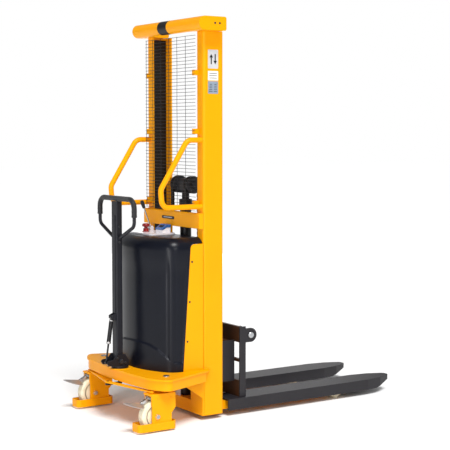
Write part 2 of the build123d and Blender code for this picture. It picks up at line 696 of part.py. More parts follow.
def lever_pivot():
    """Two ears and a pin on the deck for the lift lever."""
    axis_z = lever_axis_z()
    reach = 16
    pivot = rod_y(LEVER_X, (LEVER_Y - reach, LEVER_Y + reach), axis_z, LEVER_PIN_R)
    for y in ((LEVER_Y - reach, LEVER_Y - 10), (LEVER_Y + 10, LEVER_Y + reach)):
        pivot = pivot + block((LEVER_X - 10, LEVER_X + 10), y, (deck_top(), axis_z + 10))
    return pivot


# ---- fork carriage ------------------------------------------------------------------------------


def fork():
    """The left fork: a blade of upside-down channel section with a bevelled tip, and its heel."""
    half = FORK_WIDTH / 2
    bottom = FORK_TOP - FORK_HEIGHT
    blade_x = FORK_X + HEEL_LENGTH
    front = FORK_FRONT
    right = [(blade_x, -half), (front - 200, -half), (front - 95, -half + 16), (front - 12, -30), (front, -16)]
    outline = right + [(x, -y) for x, y in reversed(right)]
    blade = Pos(0, FORK_Y, 0) * plate_xy(outline, (bottom, FORK_TOP))
    bevel = plate_xz(
        [(front - 130, bottom - 1), (front + 1, bottom - 1), (front + 1, FORK_TOP - 22)],
        (FORK_Y - half - 1, FORK_Y + half + 1),
    )
    blade = blade - bevel
    inner_y = (FORK_Y - half + FORK_WALL, FORK_Y + half - FORK_WALL)
    hollow = (bottom - 1, FORK_TOP - FORK_WALL)
    blade = blade - block((blade_x - 1, front - 190), inner_y, hollow)
    heel = block((FORK_X, blade_x), (FORK_Y - half, FORK_Y + half), (bottom, FORK_TOP))
    heel = heel - block((FORK_X - 1, blade_x + 1), inner_y, hollow)
    return [blade, heel]


def crossbars():
    """The carriage's crossbars and the plate that holds the chain ends."""
    bars = [
        block((CROSSBAR_X, CROSSBAR_X + CROSSBAR_THICK), (-CROSSBAR_HALF, CROSSBAR_HALF), z) for z in CROSSBAR_Z
    ]
    low = CROSSBAR_Z[2][0] - 20
    strand_x = CYLINDER_X + CHAIN_R
    plate = block((strand_x + 30, CROSSBAR_X), (-ROLLER_PLATE_Y[0], ROLLER_PLATE_Y[0]), (low, low + 20))
    half = CHAIN_WIDTH / 2 + 5
    arm = block((strand_x - 15, strand_x + 30), (CHAIN_WHEEL_Y - half, CHAIN_WHEEL_Y + half), (low, low + 20))
    arms = both(arm)
    rib = block((strand_x + 60, CROSSBAR_X), (-6, 6), (low - 70, low))
    return bars + [plate + arms[0] + arms[1] + rib]


def side_plate():
    """The left end plate of the carriage with its round lug."""
    y = (CROSSBAR_HALF, CROSSBAR_HALF + SIDE_PLATE_THICK)
    low, high = CROSSBAR_Z[0][0], CROSSBAR_Z[2][1]
    strip = block((CROSSBAR_X, SIDE_PLATE_FRONT), y, (low, high))
    lug = rod_y(LUG_X, y, LUG_Z, LUG_R)
    web = block((CROSSBAR_X + 10, LUG_X), y, (LUG_Z - LUG_R, LUG_Z + LUG_R))
    return strip + web + lug


def roller_plate():
    """The left plate that carries the mast rollers inside the column."""
    low, high = ROLLER_PLATE_Z
    rear = ROLLER_PLATE_REAR
    front_low, front_high = CROSSBAR_Z[0][1] - 8, CROSSBAR_Z[2][0] + 8
    outline = [
        (rear, low + 20), (rear + 20, low), (COLUMN_DEPTH, low), (COLUMN_DEPTH, front_low),
        (CROSSBAR_X, front_low), (CROSSBAR_X, front_high), (COLUMN_DEPTH, front_high), (COLUMN_DEPTH, high),
        (rear + 14, high), (rear, high - 14),
    ]
    return plate_xz(outline, ROLLER_PLATE_Y)


def carriage_pins():
    """Roller stub axles and the bright pins in the side lugs."""
    pins = []
    for z in MAST_ROLLER_Z:
        stub = rod_y(COLUMN_DEPTH / 2, (ROLLER_PLATE_Y[1], MAST_ROLLER_Y[1] + 2), z, STUB_R)
        collar = rod_y(COLUMN_DEPTH / 2, (ROLLER_PLATE_Y[1], MAST_ROLLER_Y[0] - 1), z, STUB_R + 10)
        pins += both(stub + collar)
    plate_end = CROSSBAR_HALF + SIDE_PLATE_THICK
    pin = rod_y(LUG_X, (plate_end, plate_end + 7), LUG_Z, LUG_PIN_R)
    return pins + both(chamfer(pin.edges().group_by(Axis.Y)[-1], 2))


def mast_roller(z):
    """A left mast roller, running inside the column."""
    roller = rod_y(COLUMN_DEPTH / 2, MAST_ROLLER_Y, z, MAST_ROLLER_R)
    roller = chamfer(roller.edges(), 2.5)
    y = (MAST_ROLLER_Y[0] - 1, MAST_ROLLER_Y[1] + 1)
    return roller - rod_y(COLUMN_DEPTH / 2, y, z, STUB_R + RUN)


# ---- casters and steering -----------------------------------------------------------------------


def at_left_kingpin(shape):
    """Move a piece drawn about the kingpin to the left caster's place."""
    return Pos(KINGPIN_X, KINGPIN_Y, 0) * shape


def caster():
    """The left caster: kingpin, top plate, side plates, foot guard ring and wheel axle."""
    half, wall = BRACKET_HALF, BRACKET_WALL
    plate = block((BRACKET_REAR, BRACKET_FRONT), (-half, half), (BRACKET_TOP - wall, BRACKET_TOP))
    side_points = [
        (BRACKET_REAR + 6, BRACKET_TOP - wall), (BRACKET_FRONT, BRACKET_TOP - wall), (BRACKET_FRONT, 118),
        (BRACKET_FRONT - 22, 92), (BRACKET_FRONT - 22, GUARD_Z[0]), (-CASTER_TRAIL - 30, GUARD_Z[0]),
        (-CASTER_TRAIL - 30, 130), (BRACKET_REAR + 6, 142),
    ]
    sides = plate_xz(side_points, (half - wall, half)) + plate_xz(side_points, (-half, -half + wall))
    height = GUARD_Z[1] - GUARD_Z[0]
    width = half + GUARD_THICK
    ring = extrude(RectangleRounded(2 * GUARD_HALF_LENGTH, 2 * width, GUARD_CORNER), amount=height)
    hole = RectangleRounded(2 * (GUARD_HALF_LENGTH - GUARD_THICK), 2 * half, GUARD_CORNER - GUARD_THICK)
    ring = Pos(-CASTER_TRAIL, 0, GUARD_Z[0]) * (ring - extrude(hole, amount=height))
    kingpin = rod_z(0, 0, (BRACKET_TOP, PLATE_TOP - PLATE_THICK - 1), KINGPIN_R)
    link_pin = rod_z(-LINK_ARM, 0, (BRACKET_TOP, LINK_Z[1] + 2), LINK_PIN_R)
    pedal_pin = rod_y(PEDAL_PIVOT[0], (-half + wall, half - wall), PEDAL_PIVOT[1], PEDAL_PIN_R)
    bracket = plate + sides + ring + kingpin + link_pin + pedal_pin
    axle = rod_y(-CASTER_TRAIL, (-half + wall, half - wall), WHEEL_R, WHEEL_AXLE_R)
    heads = [hex_head(-CASTER_TRAIL, side * half, WHEEL_R, 24, 7, (0, side, 0)) for _, side in SIDES]
    return [at_left_kingpin(bracket), at_left_kingpin(axle)] + [at_left_kingpin(head) for head in heads]


def steer_wheel():
    """The left rear wheel."""
    half = WHEEL_WIDTH / 2
    wheel = rod_y(0, (-half, half), WHEEL_R, WHEEL_R)
    wheel = fillet(wheel.edges(), 6)
    recess = rod_y(0, (half - 8, half + 1), WHEEL_R, WHEEL_R - 20)
    recess = recess - rod_y(0, (half - 9, half + 2), WHEEL_R, 24)
    wheel = wheel - recess - recess.mirror(Plane.XZ)
    wheel = wheel - rod_y(0, (-half - 1, half + 1), WHEEL_R, WHEEL_AXLE_R + RUN)
    return Pos(KINGPIN_X - CASTER_TRAIL, KINGPIN_Y, 0) * wheel


def brake_pedal():
    """The left brake pedal: a tube on its pin and a pointed tread behind the wheel."""
    tilt = atan2(PEDAL_TIP[1] - PEDAL_FRONT[1], PEDAL_FRONT[0] - PEDAL_TIP[0])
    off_x, off_z = PEDAL_THICK * sin(tilt), PEDAL_THICK * cos(tilt)
    fx, fz = PEDAL_FRONT
    tx, tz = PEDAL_TIP
    half = PEDAL_WIDTH / 2
    tread = plate_xz([(fx, fz), (tx, tz), (tx, tz + PEDAL_THICK), (fx + off_x, fz + off_z)], (-half, half))
    tip = PEDAL_TIP_WIDTH / 2
    middle = (fx + 2 * tx) / 3
    plan = [(fx + 9, -half + 8), (fx - 18, -half), (middle, -half + 7), (tx, -tip), (tx, tip)]
    plan += [(middle, half - 7), (fx - 18, half), (fx + 9, half - 8)]
    tread = tread & plate_xy(plan, (100, 220))
    px, pz = PEDAL_PIVOT
    ear = BRACKET_HALF - BRACKET_WALL - 1
    hub = rod_y(px, (-ear, ear), pz, PEDAL_PIN_R + 4)
    arm = plate_xz([(px - 2, pz + 8), (px + 4, pz - 8), (fx + 2, fz + 1), (fx - 16, fz + 8)], (-9, 9))
    pedal = hub + arm + tread
    return at_left_kingpin(pedal - rod_y(px, (-40, 40), pz, PEDAL_PIN_R + RUN))


def steering_link():
    """The bent flat bar that joins both casters to the tiller's arm."""
    side_x = KINGPIN_X - LINK_ARM
    middle_x = TURRET_X - LINK_ARM
    width = LINK_WIDTH / 2
    angle = atan2(LINK_BOW, KINGPIN_Y)
    dx, dy = width * cos(angle), width * sin(angle)
    arm = [
        (side_x - dx, KINGPIN_Y + dy), (side_x + dx, KINGPIN_Y - dy), (middle_x + dx, -dy), (middle_x - dx, dy),
    ]
    bar = plate_xy(arm, LINK_Z)
    bars = both(bar)
    link = bars[0] + bars[1] + rod_z(middle_x, 0, LINK_Z, width + 3)
    for _, side in SIDES:
        link = link + rod_z(side_x, side * KINGPIN_Y, LINK_Z, width + 3)
    for _, side in SIDES:
        link = link - rod_z(side_x, side * KINGPIN_Y, (LINK_Z[0] - 1, LINK_Z[1] + 1), LINK_HOLE_R)
    return link - rod_z(middle_x, 0, (LINK_Z[0] - 1, LINK_Z[1] + 1), LINK_PIN_R + RUN)


# ---- tiller -------------------------------------------------------------------------------------


def turret():
    """The tiller's foot: disc, two ears with the tilt pin, spring ears, shaft and steering arm."""
    disc = rod_z(TURRET_X, 0, TURRET_DISC_Z, TURRET_DISC_R)
    top = TURRET_DISC_Z[1]
    ear_y = (EAR_GAP, EAR_GAP + EAR_THICK)
    ear_points = [
        (TURRET_X - 30, top), (TURRET_X + 30, top), (TURRET_X + 34, top + 26), (TURRET_X + 12, EAR_TOP),
        (TURRET_X - 34, EAR_TOP), (TURRET_X - 56, EAR_TOP - 26),
    ]
    ear = plate_xz(ear_points, ear_y)
    foot_x, foot_z = SPRING_FOOT
    lug_points = [
        (TURRET_X - 28, top), (TURRET_X - 50, EAR_TOP - 26), (foot_x - 6, foot_z + 11), (foot_x - 13, foot_z),
        (foot_x - 4, foot_z - 14), (TURRET_X - 44, top + 2),
    ]
    lug = plate_xz(lug_points, ear_y)
    pin = rod_y(TILT_X, (-EAR_GAP - EAR_THICK - 3, EAR_GAP + EAR_THICK + 3), TILT_Z, TILT_PIN_R)
    head = hex_head(TILT_X, EAR_GAP + EAR_THICK, TILT_Z, 22, 6, (0, 1, 0))
    arm_low = LINK_Z[0] - 3 - 8
    shaft = rod_z(TURRET_X, 0, (arm_low, TURRET_DISC_Z[0]), TURRET_SHAFT_R)
    arm = block((TURRET_X - LINK_ARM, TURRET_X), (-14, 14), (arm_low, arm_low + 8))
    arm = arm + rod_z(TURRET_X - LINK_ARM, 0, (arm_low, arm_low + 8), 14)
    link_pin = rod_z(TURRET_X - LINK_ARM, 0, (arm_low, LINK_Z[1] + 2), LINK_PIN_R)
    parts = both(ear) + both(lug) + both(head)
    body = disc + pin + shaft + arm + link_pin
    for part in parts:
        body = body + part
    return body


def tiller_pole():
    """The tiller's box-section pole with the spring's upper ears."""
    x = (TILT_X - POLE_DEPTH / 2, TILT_X + POLE_DEPTH / 2)
    y = (-POLE_WIDTH / 2, POLE_WIDTH / 2)
    pole = fillet(block(x, y, POLE_Z).edges().filter_by(Axis.Z), 6)
    inner = block(
        (x[0] + POLE_WALL, x[1] - POLE_WALL), (y[0] + POLE_WALL, y[1] - POLE_WALL), (POLE_Z[0] - 1, POLE_Z[1] - 12)
    )
    pole = pole - inner
    pole = pole - rod_y(TILT_X, (y[0] - 1, y[1] + 1), TILT_Z, TILT_PIN_R + RUN)
    top_x, top_z = SPRING_TOP
    ear = plate_xz(
        [(x[0], top_z - 20), (x[0], top_z + 20), (top_x - 8, top_z + 8), (top_x - 8, top_z - 8)], (12.5, 18.5)
    )
    ears = both(ear)
    pin = rod_y(top_x, (-18.5, 18.5), top_z, 5)
    return pole + ears[0] + ears[1] + pin


def tiller_loop():
    """The steering loop: a bent rod whose legs run down into the pole's sides."""
    start_y = POLE_WIDTH / 2 - 12
    path = FilletPolyline(
        (TILT_X, start_y, LOOP_FOOT), (TILT_X, LOOP_HALF, LOOP_SHOULDER), (TILT_X, LOOP_HALF, LOOP_TOP),
        (TILT_X, -LOOP_HALF, LOOP_TOP), (TILT_X, -LOOP_HALF, LOOP_SHOULDER), (TILT_X, -start_y, LOOP_FOOT),
        radius=[36, LOOP_CORNER, LOOP_CORNER, 36],
    )
    half_x, half_y = POLE_DEPTH / 2, POLE_WIDTH / 2
    pole = block((TILT_X - half_x, TILT_X + half_x), (-half_y, half_y), POLE_Z)
    return tube_along(path, LOOP_R) - pole


def tiller_grips():
    """The rubber grip over the upper half of the loop."""
    path = FilletPolyline(
        (TILT_X, LOOP_HALF, GRIP_BOTTOM), (TILT_X, LOOP_HALF, LOOP_TOP),
        (TILT_X, -LOOP_HALF, LOOP_TOP), (TILT_X, -LOOP_HALF, GRIP_BOTTOM),
        radius=[LOOP_CORNER, LOOP_CORNER],
    )
    return tube_along(path, GRIP_R, LOOP_R)


def spring_point(along):
    """A point on the gas spring's axis, a distance down from its upper eye."""
    dx, dz = SPRING_FOOT[0] - SPRING_TOP[0], SPRING_FOOT[1] - SPRING_TOP[1]
    length = hypot(dx, dz)
    return Vector(SPRING_TOP[0] + dx * along / length, 0, SPRING_TOP[1] + dz * along / length)


def spring_piece(start, end, radius):
    """A round bar along the gas spring's axis."""
    low, high = spring_point(start), spring_point(end)
    plane = Plane(origin=low, z_dir=high - low)
    return extrude(plane * Circle(radius), amount=end - start)


def gas_spring_cylinder():
    """The gas spring's barrel, hung from the pole by its eye."""
    eye = rod_y(SPRING_TOP[0], (-12, 12), SPRING_TOP[1], 10)
    barrel = spring_piece(14, SPRING_BARREL_END, SPRING_BARREL_R) + spring_piece(6, 16, 6)
    body = eye + barrel - rod_y(SPRING_TOP[0], (-20, 20), SPRING_TOP[1], 5 + RUN)
    return body - spring_piece(22, SPRING_BARREL_END + 1, SPRING_ROD_R + RUN)


def gas_spring_rod():
    """The gas spring's rod with its lower eye."""
    rod = spring_piece(SPRING_BARREL_END - 42, SPRING_LENGTH, SPRING_ROD_R)
    foot = SPRING_FOOT
    return rod + rod_y(foot[0], (-6, 6), foot[1], SPRING_EYE_R)


# ---- write every node ---------------------------------------------------------------------------


def main():
    os.makedirs("parts", exist_ok=True)
    for name, side in SIDES:
        save(f"mast_column_{name}", sided(mast_column(), side))
        save(f"grab_handle_{name}", sided(grab_handle(), side))
        save(f"support_leg_{name}", sided(support_leg(), side))
        save(f"load_roller_{name}", sided(load_roller(), side))
        save(f"side_panel_{name}", sided(side_panel(), side))
        save(f"fork_{name}", *[sided(piece, side) for piece in fork()])
        save(f"chain_wheel_{name}", sided(chain_wheel(), side))
        save(f"caster_{name}", *[sided(piece, side) for piece in caster()])
        save(f"steer_wheel_{name}", sided(steer_wheel(), side))
        save(f"brake_pedal_{name}", sided(brake_pedal(), side))
        for level, z in zip(("lower", "upper"), MAST_ROLLER_Z):
            save(f"mast_roller_{level}_{name}", sided(mast_roller(z), side))
    save("mast_top_tube", top_tube())
    save("mast_top_caps", *top_caps())
    save("mid_crossbeam", crossbeam())
    save("crossbeam_fittings", *crossbeam_fittings())
    save("guard_mesh", guard_mesh())
    save("guard_clips", *guard_clips())
    save("cylinder_barrel", cylinder_barrel())
    save("piston_rod", piston_rod())
    save("crosshead", crosshead())
    save("chain_over_wheels", *both(chain_wrap()))
    save("chain_rear_strands", *both(chain_strand(CYLINDER_X - CHAIN_R, (CHAIN_ANCHOR_Z, CHAIN_WHEEL_Z - GAP))))
    save("chain_front_strands", *both(chain_strand(CYLINDER_X + CHAIN_R, (CROSSBAR_Z[2][0], CHAIN_WHEEL_Z - GAP))))
    save("base_plate", base_plate())
    save("lower_frame_plates", *lower_frame())
    save("hood_cover", hood_cover())
    save("control_deck", control_deck() + lever_pivot())
    save("battery", battery())
    save("pump_motor", pump_motor())
    save("oil_tank", oil_tank())
    save("hydraulic_pipe", hydraulic_pipe())
    save("body_screws", *body_screws())
    save("emergency_stop_base", stop_base())
    save("stop_button", stop_button())
    save("battery_gauge", battery_gauge())
    save("control_lever", control_lever())
    save("carriage_crossbars", *crossbars())
    save("carriage_side_plates", *both(side_plate()))
    save("roller_plates", *both(roller_plate()))
    save("carriage_pins", *carriage_pins())
    save("steering_link", steering_link())
    save("turret", turret())
    save("tiller_pole", tiller_pole())
    save("tiller_loop", tiller_loop())
    save("tiller_grips", tiller_grips())
    save("gas_spring_cylinder", gas_spring_cylinder())
    save("gas_spring_rod", gas_spring_rod())


main()
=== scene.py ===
"""Looks of a walk-behind electric stacker: finishes, formed hood, chains, mesh, wheels and controls."""
from __future__ import annotations

import logging
import math
from dataclasses import dataclass, field
from enum import Enum
from typing import Callable, Sequence

import bmesh
import bpy
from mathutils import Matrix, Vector

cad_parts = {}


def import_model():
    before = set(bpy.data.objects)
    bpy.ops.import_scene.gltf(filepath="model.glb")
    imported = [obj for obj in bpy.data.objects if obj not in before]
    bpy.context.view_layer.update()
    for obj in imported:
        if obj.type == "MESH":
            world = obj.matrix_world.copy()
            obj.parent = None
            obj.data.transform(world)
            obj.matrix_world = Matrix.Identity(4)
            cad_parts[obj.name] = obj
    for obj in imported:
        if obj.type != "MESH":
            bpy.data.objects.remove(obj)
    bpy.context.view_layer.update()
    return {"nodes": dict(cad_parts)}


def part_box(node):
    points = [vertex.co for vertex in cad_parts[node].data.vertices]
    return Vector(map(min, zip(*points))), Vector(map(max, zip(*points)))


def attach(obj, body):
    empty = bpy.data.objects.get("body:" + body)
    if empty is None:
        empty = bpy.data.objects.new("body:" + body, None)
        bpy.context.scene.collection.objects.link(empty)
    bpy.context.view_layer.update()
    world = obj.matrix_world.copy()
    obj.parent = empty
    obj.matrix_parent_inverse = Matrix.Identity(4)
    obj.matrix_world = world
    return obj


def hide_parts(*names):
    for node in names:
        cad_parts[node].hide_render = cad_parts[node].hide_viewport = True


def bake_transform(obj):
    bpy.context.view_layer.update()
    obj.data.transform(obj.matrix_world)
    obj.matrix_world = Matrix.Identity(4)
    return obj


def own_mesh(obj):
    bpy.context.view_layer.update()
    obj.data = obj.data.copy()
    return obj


log = logging.getLogger("stacker")
MM = 0.001
EDGE_PATCH_MM = 14
Point = Sequence[float]
Outline = list[tuple[float, float]]
Faces = list[bmesh.types.BMFace]


class Side(Enum):
    """The truck's two sides, with the sign of y on each."""

    LEFT = 1
    RIGHT = -1

    @property
    def word(self) -> str:
        """The word used in node and body names."""
        return self.name.lower()


class Grain(Enum):
    """How a surface's fine texture runs."""

    EVEN = (1.0, 1.0, 1.0)
    UPRIGHT = (6.0, 6.0, 0.25)
    ROUND = (3.0, 0.4, 3.0)


def linear(code: str) -> tuple[float, float, float, float]:
    """Turns an sRGB hex colour into the linear colour that the shaders take.

    Args:
        code: Six hex digits after a hash.

    Returns:
        Red, green, blue and alpha.
    """
    parts = [int(code[i : i + 2], 16) / 255 for i in (1, 3, 5)]
    red, green, blue = [c / 12.92 if c <= 0.04045 else ((c + 0.055) / 1.055) ** 2.4 for c in parts]
    return red, green, blue, 1.0


def add_node(
    tree: bpy.types.NodeTree, kind: str, inputs: dict | None = None, **settings: object
) -> bpy.types.Node:
    """Adds one shader node, sets it up and links what feeds it.

    Args:
        tree: The material's or world's node tree.
        kind: The node's type name.
        inputs: Input names or numbers, each with a value or the socket to link from.
        **settings: The node's own properties.

    Returns:
        The new node.
    """
    node = tree.nodes.new(kind)
    for name, value in settings.items():
        setattr(node, name, value)
    for name, value in (inputs or {}).items():
        if isinstance(value, bpy.types.NodeSocket):
            tree.links.new(value, node.inputs[name])
        else:
            node.inputs[name].default_value = value
    return node


# ---- finishes ---------------------------------------------------------------------------------


@dataclass(frozen=True)
class Finish:
    """One real surface finish.

    A low-frequency mottle shifts the colour and the gloss, a fine grain gives the bump, and a second
    colour on the corners stands for worn edges where it is bare metal, and is a painted highlight where
    it is a lighter tint of a paint's or a plastic's own colour, with scuffing as well on the dark plastics.
    Every scale is a real size in millimetres.
    """

    name: str
    slot: str
    colour: str
    shade: str
    roughness: tuple[float, float]
    metallic: float = 0.0
    ior: float = 1.5
    coat: float = 0.0
    coat_roughness: float = 0.1
    mottle_mm: float = 120.0
    grain_mm: float = 3.0
    depth_mm: float = 0.03
    grain: Grain = Grain.EVEN
    edge: str = ""
    edge_mm: float = 1.2
    edge_amount: float = 0.35
    sheen: float = 0.0
    specular: float = 0.5

    def build(self) -> bpy.types.Material:
        """Makes the material once, and finds it again after that.

        Returns:
            The material.
        """
        found = bpy.data.materials.get(self.name)
        if found:
            return found
        material = bpy.data.materials.new(self.name)
        material.use_nodes = True
        tree = material.node_tree
        tree.nodes.clear()
        where = add_node(tree, "ShaderNodeTexCoord").outputs["Object"]
        stretched = add_node(
            tree, "ShaderNodeMapping", {"Vector": where, "Scale": self.grain.value}
        ).outputs[0]
        mottle = add_node(
            tree, "ShaderNodeTexNoise",
            {"Vector": where, "Scale": 1 / (self.mottle_mm * MM), "Detail": 4.0},
        ).outputs[0]
        fine = add_node(
            tree, "ShaderNodeTexNoise",
            {"Vector": stretched, "Scale": 1 / (self.grain_mm * MM), "Detail": 3.0},
        ).outputs[0]
        tone = add_node(
            tree, "ShaderNodeMapRange", {"Value": mottle, "From Min": 0.32, "From Max": 0.7}
        ).outputs[0]
        colour = add_node(
            tree, "ShaderNodeMix", {0: tone, 6: linear(self.colour), 7: linear(self.shade)},
            data_type="RGBA",
        ).outputs[2]
        low, high = self.roughness
        gloss = add_node(
            tree, "ShaderNodeMapRange",
            {"Value": fine, "From Min": 0.3, "From Max": 0.7, "To Min": low, "To Max": high},
        ).outputs[0]
        rounded_normal = add_node(
            tree, "ShaderNodeBevel", {"Radius": self.edge_mm * MM}, samples=4
        ).outputs[0]
        if self.edge:
            colour = self.edge_wear_and_highlight(tree, where, rounded_normal, colour)
        bump = add_node(
            tree, "ShaderNodeBump",
            {"Height": fine, "Distance": self.depth_mm * MM, "Normal": rounded_normal, "Strength": 1.0},
        ).outputs[0]
        shader = add_node(
            tree,
            "ShaderNodeBsdfPrincipled",
            {
                "Base Color": colour, "Roughness": gloss, "Metallic": self.metallic, "IOR": self.ior,
                "Coat Weight": self.coat, "Coat Roughness": self.coat_roughness, "Normal": bump,
                "Sheen Weight": self.sheen, "Specular IOR Level": self.specular,
            },
        )
        add_node(tree, "ShaderNodeOutputMaterial", {"Surface": shader.outputs[0]})
        return material

    def edge_wear_and_highlight(
        self,
        tree: bpy.types.NodeTree,
        where: bpy.types.NodeSocket,
        rounded_normal: bpy.types.NodeSocket,
        colour: bpy.types.NodeSocket,
    ) -> bpy.types.NodeSocket:
        """Mixes a second colour in on corners, where the rounded normal leaves the flat one: worn edges
        where it is bare metal, a painted highlight where it is a lighter tint of a paint's or a plastic's
        own colour.

        Args:
            tree: The material's node tree.
            where: The object coordinates.
            rounded_normal: The normal with its edges rounded.
            colour: The finish's colour away from its corners.

        Returns:
            The colour with the second colour mixed in on its corners.
        """
        flat = add_node(tree, "ShaderNodeNewGeometry").outputs["True Normal"]
        along = add_node(
            tree, "ShaderNodeVectorMath", {0: rounded_normal, 1: flat}, operation="DOT_PRODUCT"
        ).outputs["Value"]
        corner = add_node(
            tree, "ShaderNodeMapRange", {"Value": along, "From Min": 0.995, "From Max": 0.86}
        ).outputs[0]
        patchy = add_node(
            tree, "ShaderNodeTexNoise", {"Vector": where, "Scale": 1 / (EDGE_PATCH_MM * MM), "Detail": 5.0}
        ).outputs[0]
        patch = add_node(
            tree, "ShaderNodeMapRange", {"Value": patchy, "From Min": 0.5, "From Max": 0.62}
        ).outputs[0]
        wear_and_highlight_mask = add_node(tree, "ShaderNodeMath", {0: corner, 1: patch}, operation="MULTIPLY").outputs[0]
        wear_and_highlight_mask = add_node(
            tree, "ShaderNodeMath", {0: wear_and_highlight_mask, 1: self.edge_amount}, operation="MULTIPLY"
        ).outputs[0]
        return add_node(
            tree, "ShaderNodeMix", {0: wear_and_highlight_mask, 6: colour, 7: linear(self.edge)}, data_type="RGBA"
        ).outputs[2]


# The grains below are drawn coarser than the real ones, which are too fine to show at this distance.

# Powder-coated steel, sprayed dry and baked: an even satin yellow with a faint orange peel. Its corners
# turn a lighter yellow, a painted highlight.
YELLOW = Finish(
    "powder_coat_yellow", "yellow_paint", "#F6A500", "#F2A000", (0.3, 0.42), specular=0.12, coat=0.03,
    coat_roughness=0.2, mottle_mm=420, grain_mm=2.6, depth_mm=0.02, edge="#FFC23A", edge_mm=1.6,
    edge_amount=0.5,
)
# Powder-coated steel in charcoal: a dull dark grey that rubs to bare steel along its edges.
CHARCOAL = Finish(
    "powder_coat_charcoal", "dark_paint", "#201E22", "#262428", (0.4, 0.55), specular=0.35,
    mottle_mm=160, grain_mm=2.2, depth_mm=0.03, edge="#8A898C", edge_mm=1.6, edge_amount=0.5,
)
# Black enamel, brushed or dipped: a soft gloss, a little uneven.
BLACK = Finish(
    "enamel_black", "black_paint", "#0D0D10", "#131317", (0.32, 0.48), specular=0.35, mottle_mm=90,
    grain_mm=2.0, depth_mm=0.02, edge="#77787C", edge_mm=1.0, edge_amount=0.4,
)
# Powder-coated steel in blue-black: a cool satin on the handle's tubes.
TILLER_PAINT = Finish(
    "powder_coat_slate", "black_paint", "#121319", "#171820", (0.34, 0.5), specular=0.3, mottle_mm=110,
    grain_mm=1.8, depth_mm=0.02, edge="#6F717A", edge_mm=1.4, edge_amount=0.4,
)
# Polypropylene, moulded in a spark-eroded tool: a fine leathery grain with a soft gloss. Its corners turn a
# lighter blue-grey, partly scuffing and partly a painted highlight.
HOOD = Finish(
    "moulded_polypropylene", "hood_plastic", "#090C16", "#0D101B", (0.26, 0.38), specular=0.24,
    ior=1.49, mottle_mm=260, grain_mm=1.6, depth_mm=0.05, edge="#4A4C58", edge_mm=2.0, edge_amount=0.25,
)
# Moulded rubber: matt and slightly dusty where it turns away.
GRIP = Finish(
    "moulded_grip_rubber", "rubber_grip", "#101013", "#16161A", (0.5, 0.7), specular=0.4, ior=1.52,
    mottle_mm=40, grain_mm=1.2, depth_mm=0.08, sheen=0.15,
)
# Zinc-plated steel, barrel-plated: bright with a cloudy grey bloom.
ZINC = Finish(
    "zinc_plate", "bright_steel", "#C8CACC", "#A9ADB2", (0.22, 0.42), metallic=1.0, mottle_mm=18,
    grain_mm=1.0, depth_mm=0.02, edge="#E8EAEC", edge_mm=0.6, edge_amount=0.4,
)
# Bare steel sheet, pressed cold: a grey sheen with brighter scuffed ridges.
PRESSED = Finish(
    "pressed_steel", "pressed_steel", "#8D9197", "#777C84", (0.32, 0.5), metallic=0.85, mottle_mm=30,
    grain_mm=1.4, depth_mm=0.04, edge="#C9CCD1", edge_mm=0.9, edge_amount=0.5,
)
# Leaf chain, punched and oiled: dark plates whose edges keep a rolled brightness.
CHAIN = Finish(
    "oiled_chain_steel", "chain_steel", "#34322F", "#211F1D", (0.24, 0.45), metallic=0.8, mottle_mm=12,
    grain_mm=0.9, depth_mm=0.02, edge="#8E8A84", edge_mm=0.5, edge_amount=0.6,
)
# Painted shade for the inside of the mast channels: almost black, with long upright smears.
CHANNEL_SHADE = Finish(
    "painted_channel_shade", "chain_steel", "#0C0908", "#1A130D", (0.3, 0.6), specular=0.3, mottle_mm=35,
    grain_mm=6.0, depth_mm=0.12, grain=Grain.UPRIGHT,
)
# Polyurethane, cast on the wheel: cream from the resin, scuffed where it rolls. Its corners turn a lighter
# cream, a painted highlight.
TREAD = Finish(
    "cast_polyurethane", "cream_tread", "#EFE6CC", "#DCCFAE", (0.38, 0.6), ior=1.5, mottle_mm=22,
    grain_mm=1.6, depth_mm=0.06, edge="#F6F0E0", edge_mm=1.2,
)
# White ABS, moulded in a polished tool: smooth and fairly glossy, with a cold tint. Its corners turn pure
# white, a painted highlight.
DECK = Finish(
    "moulded_abs_white", "light_plastic", "#F1EEF2", "#E6E2E8", (0.18, 0.3), ior=1.53, mottle_mm=90,
    grain_mm=1.2, depth_mm=0.02, edge="#FFFFFF", edge_mm=1.2,
)
# Battery polypropylene, moulded: flat dark grey. Its corners turn a lighter grey, partly scuffing and
# partly a painted highlight.
BATTERY = Finish(
    "moulded_battery_case", "battery_case", "#3B3B3F", "#2E2E32", (0.4, 0.55), mottle_mm=60,
    grain_mm=1.5, depth_mm=0.05, edge="#55555A",
)
# Cast aluminium under thin dark paint: pebbly, with a little metal in its shine.
MOTOR = Finish(
    "cast_motor_case", "motor_case", "#2C2D31", "#3A3B40", (0.42, 0.6), metallic=0.2, mottle_mm=40,
    grain_mm=2.5, depth_mm=0.12, edge="#74767B",
)
# Polyethylene, blow-moulded: a waxy off-white. Its corners turn a lighter white, a painted highlight.
TANK = Finish(
    "blow_moulded_polyethylene", "tank_plastic", "#DEDCD3", "#CFCCC0", (0.35, 0.5), mottle_mm=80,
    grain_mm=2.5, depth_mm=0.08, edge="#F0EEE8",
)
# Nylon coloured right through, moulded: a deep red with a clear gloss. Its corners turn a lighter red, a
# painted highlight.
RED = Finish(
    "moulded_nylon_red", "red_plastic", "#7E0C10", "#921214", (0.22, 0.36), ior=1.53, mottle_mm=20,
    grain_mm=0.8, depth_mm=0.015, edge="#D9484A", edge_mm=0.8,
)
# Polyester film, printed blue on its back: a flat colour under a shiny skin. Its corners turn a lighter
# blue, a painted highlight.
BLUE = Finish(
    "printed_polyester_blue", "blue_plastic", "#2C63A8", "#2A5A98", (0.2, 0.32), coat=0.4, mottle_mm=15,
    grain_mm=0.8, depth_mm=0.01, edge="#5F8FC8", edge_mm=0.6,
)
